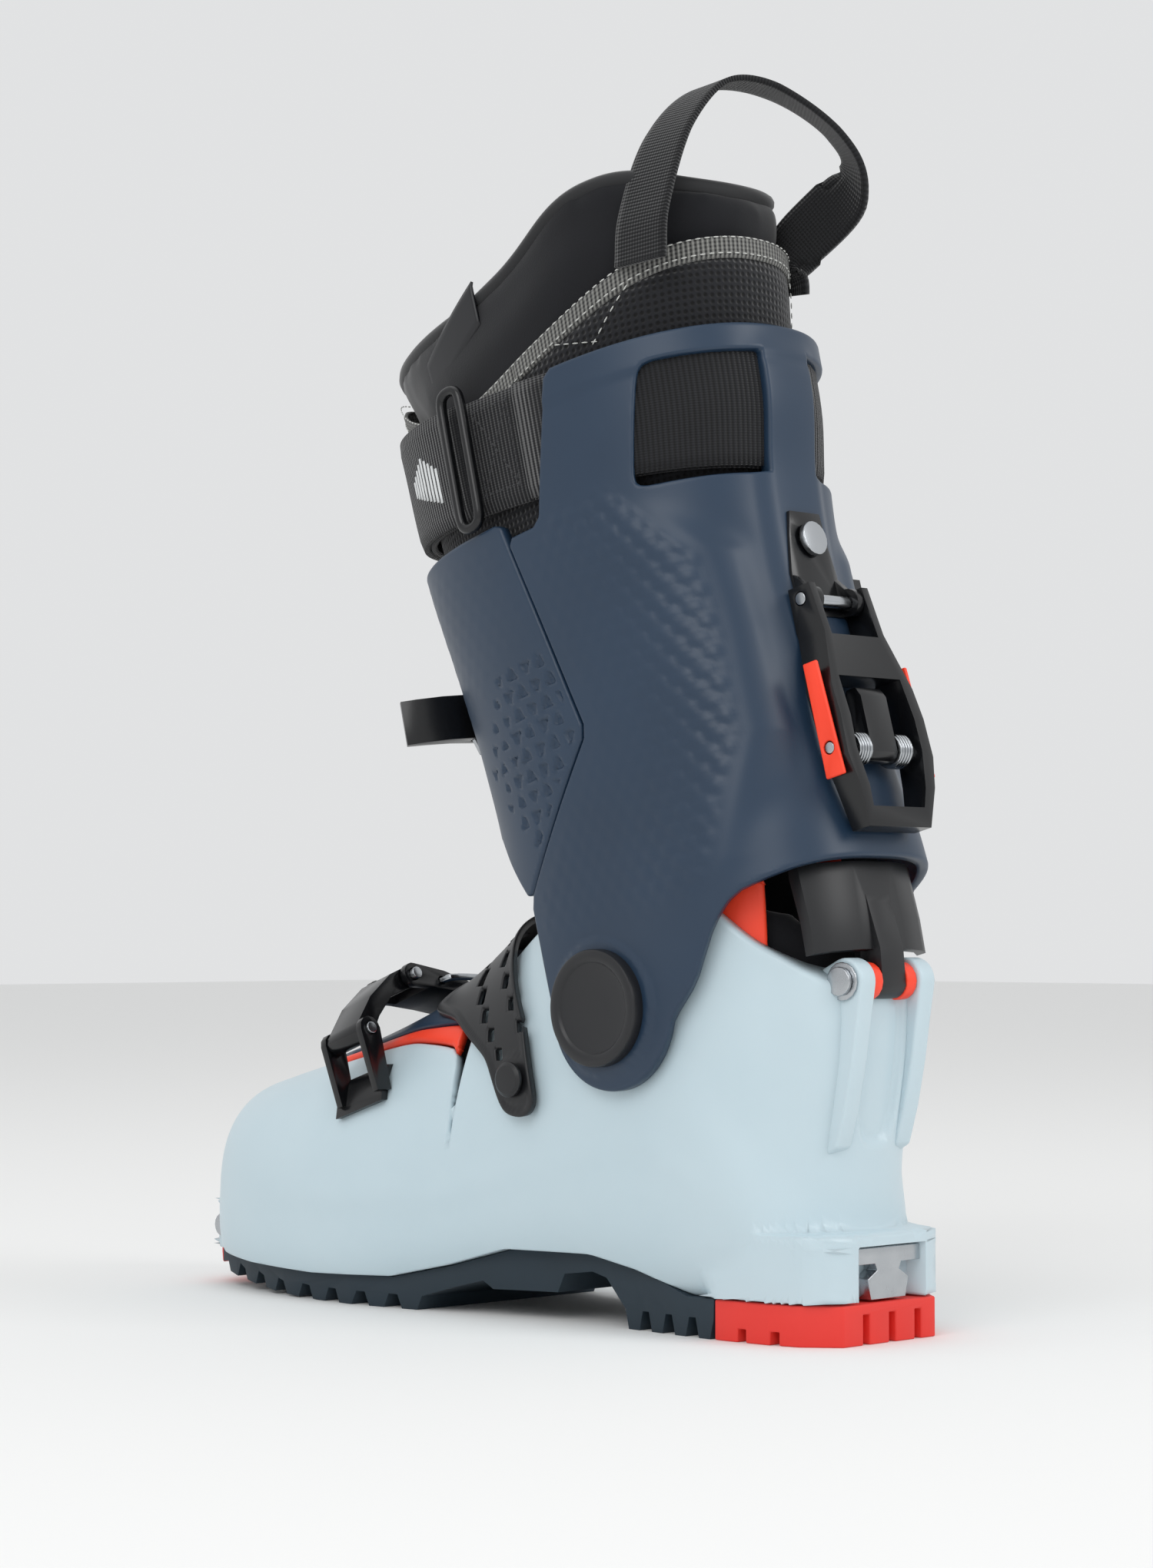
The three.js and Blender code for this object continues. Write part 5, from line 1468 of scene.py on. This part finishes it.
for look, slot, width, nodes in hardware:
    for node in nodes:
        refined(node, look, width)


def axisOf(node):
    # lowest and highest corners of a part of the frame, in metres
    verts = np.array([v.co for v in frame["nodes"][node].data.vertices])
    verts = np.array([frame["nodes"][node].matrix_world @ Vector(v) for v in verts])
    return verts.min(0), verts.max(0)


def turned(name, profile, centre, axis, material, body, sides):
    # a turned part: (radius, height) pairs in mm about an axis through a place in metres
    axis = Vector(axis).normalized()
    side = axis.orthogonal().normalized()
    other = axis.cross(side)
    verts, faces = [], []
    for radius, height in profile:
        for k in range(sides):
            turn = 2 * math.pi * k / sides
            around = side * math.cos(turn) + other * math.sin(turn)
            spot = Vector(centre) + around * radius / 1000 + axis * height / 1000
            verts.append(tuple(spot))
    for i in range(len(profile) - 1):
        for k in range(sides):
            a, b = i * sides + k, i * sides + (k + 1) % sides
            faces.append((a, b, b + sides, a + sides))
    faces.append(tuple(reversed(range(sides))))
    faces.append(tuple((len(profile) - 1) * sides + k for k in range(sides)))
    mesh = bpy.data.meshes.new(name)
    mesh.from_pydata(verts, [], faces)
    work = bmesh.new()
    work.from_mesh(mesh)
    bmesh.ops.recalc_face_normals(work, faces=work.faces)
    if work.calc_volume(signed=True) < 0:
        bmesh.ops.reverse_faces(work, faces=work.faces)
    work.to_mesh(mesh)
    work.free()
    mesh.shade_smooth()
    mesh.set_sharp_from_angle(angle=math.radians(34))
    mesh.materials.append(material)
    piece = bpy.data.objects.new(name, mesh)
    bpy.context.scene.collection.objects.link(piece)
    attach(piece, body)
    return piece


# the strut's top screw faces back along the leg frame
screw = refined("bracket_screw", steel, 0.3)

# dished caps over the cuff pivots
capLook = {"sides": 96}
for sideName, way in (("inner", 1), ("outer", -1)):
    node = f"pivot_cap_{sideName}"
    low, high = axisOf(node)
    middle = (low + high) / 2
    radius = (high[0] - low[0]) / 2 * 1000
    depth = (high[1] - low[1]) * 1000
    base = (middle[0], low[1] if way > 0 else high[1], middle[2])
    profile = [(radius * 0.97, 0.0), (radius, 0.3), (radius, depth - 0.9), (radius - 0.25, depth - 0.35),
               (radius - 0.9, depth), (radius - 3.0, depth), (radius - 3.6, depth - 0.25), (radius - 4.2, depth - 0.9),
               (radius * 0.62, depth - 1.25), (radius * 0.3, depth - 1.4), (0.6, depth - 1.42)]
    cap = turned(node + "Finish", profile, base, (0, way, 0), capBlack,
                 frame["nodes"][node]["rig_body"], sides=capLook["sides"])
    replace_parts(cap, node)

rivet = refined("strap_rivet", softBlack, 0.35)


def coil(name, node, turns, wire, grow):
    # spring wire wound over a roller's drum
    low, high = axisOf(node)
    middle = (low + high) / 2
    half = (high[1] - low[1]) / 2 * 1000
    radius = (high[0] - low[0]) / 2 * 1000 + grow
    points = []
    for k in range(turns * 20 + 1):
        turn = 2 * math.pi * k / 20
        y = -half + wire + (2 * half - 2 * wire) * k / (turns * 20)
        points.append((middle[0] * 1000 + radius * math.cos(turn) + treadMiddle, middle[1] * 1000 + y,
                       middle[2] * 1000 + radius * math.sin(turn)))
    return tube(name, points, wire, wireSteel, False, body=frame["nodes"][node]["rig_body"], smoothing=3)


for sideName in ("inner", "outer"):
    coil("springCoil" + sideName.title(), f"spring_roller_{sideName}", 4, 0.5, 0.05)


print("stage: hardware")


# Studio


def makeStudio():
    bpy.context.scene.view_settings.view_transform = "Standard"
    world = bpy.data.worlds.new("studio") if not bpy.context.scene.world else bpy.context.scene.world
    bpy.context.scene.world = world
    world.use_nodes = True
    background = world.node_tree.nodes["Background"]
    background.inputs["Color"].default_value = linear("#f6f7f8")
    background.inputs["Strength"].default_value = studio["world"]

    floorMesh = bpy.data.meshes.new("floor")
    reach = 6.0
    floorMesh.from_pydata([(-reach, -reach, 0), (reach, -reach, 0), (reach, reach, 0), (-reach, reach, 0)], [],
                          [(0, 1, 2, 3)])
    floor = bpy.data.objects.new("floor", floorMesh)
    floorMesh.materials.append(surface("matt studio floor", studio["floor"], rough=0.9, specular=0.1))
    bpy.context.scene.collection.objects.link(floor)

    target = Vector((0.03, 0, 0.16))
    lamps = (("key", (-0.5, 1.5, 1.3), 1.1, studio["key"]), ("rim", (-1.5, -0.5, 1.1), 0.7, studio["rim"]),
             ("top", (0.4, 0.2, 1.9), 1.4, studio["top"]))
    for name, place, size, power in lamps:
        light = bpy.data.lights.new(name, "AREA")
        light.shape = "SQUARE"
        light.size = size
        light.energy = power
        lamp = bpy.data.objects.new(name, light)
        lamp.location = place
        lamp.rotation_euler = (target - Vector(place)).to_track_quat("-Z", "Y").to_euler()
        bpy.context.scene.collection.objects.link(lamp)

    heading, pan, tilt = (math.radians(studio[k]) for k in ("heading", "pan", "tilt"))
    look = Vector((math.sin(heading), -math.cos(heading), 0))
    right = Vector((-math.cos(heading), -math.sin(heading), 0))
    look, right = (look * math.cos(pan) + right * math.sin(pan), right * math.cos(pan) - look * math.sin(pan))
    up = right.cross(look)
    look, up = look * math.cos(tilt) + up * math.sin(tilt), up * math.cos(tilt) - look * math.sin(tilt)
    camera = bpy.data.cameras.new("camera")
    camera.lens = studio["lens"]
    camera.sensor_width = 36
    eye = bpy.data.objects.new("camera", camera)
    eye.matrix_world = Matrix((right, up, -look)).transposed().to_4x4()
    eye.location = studio["cameraAt"]
    bpy.context.scene.collection.objects.link(eye)
    bpy.context.scene.camera = eye


makeStudio()
bpy.context.view_layer.update()
print("stage: done")
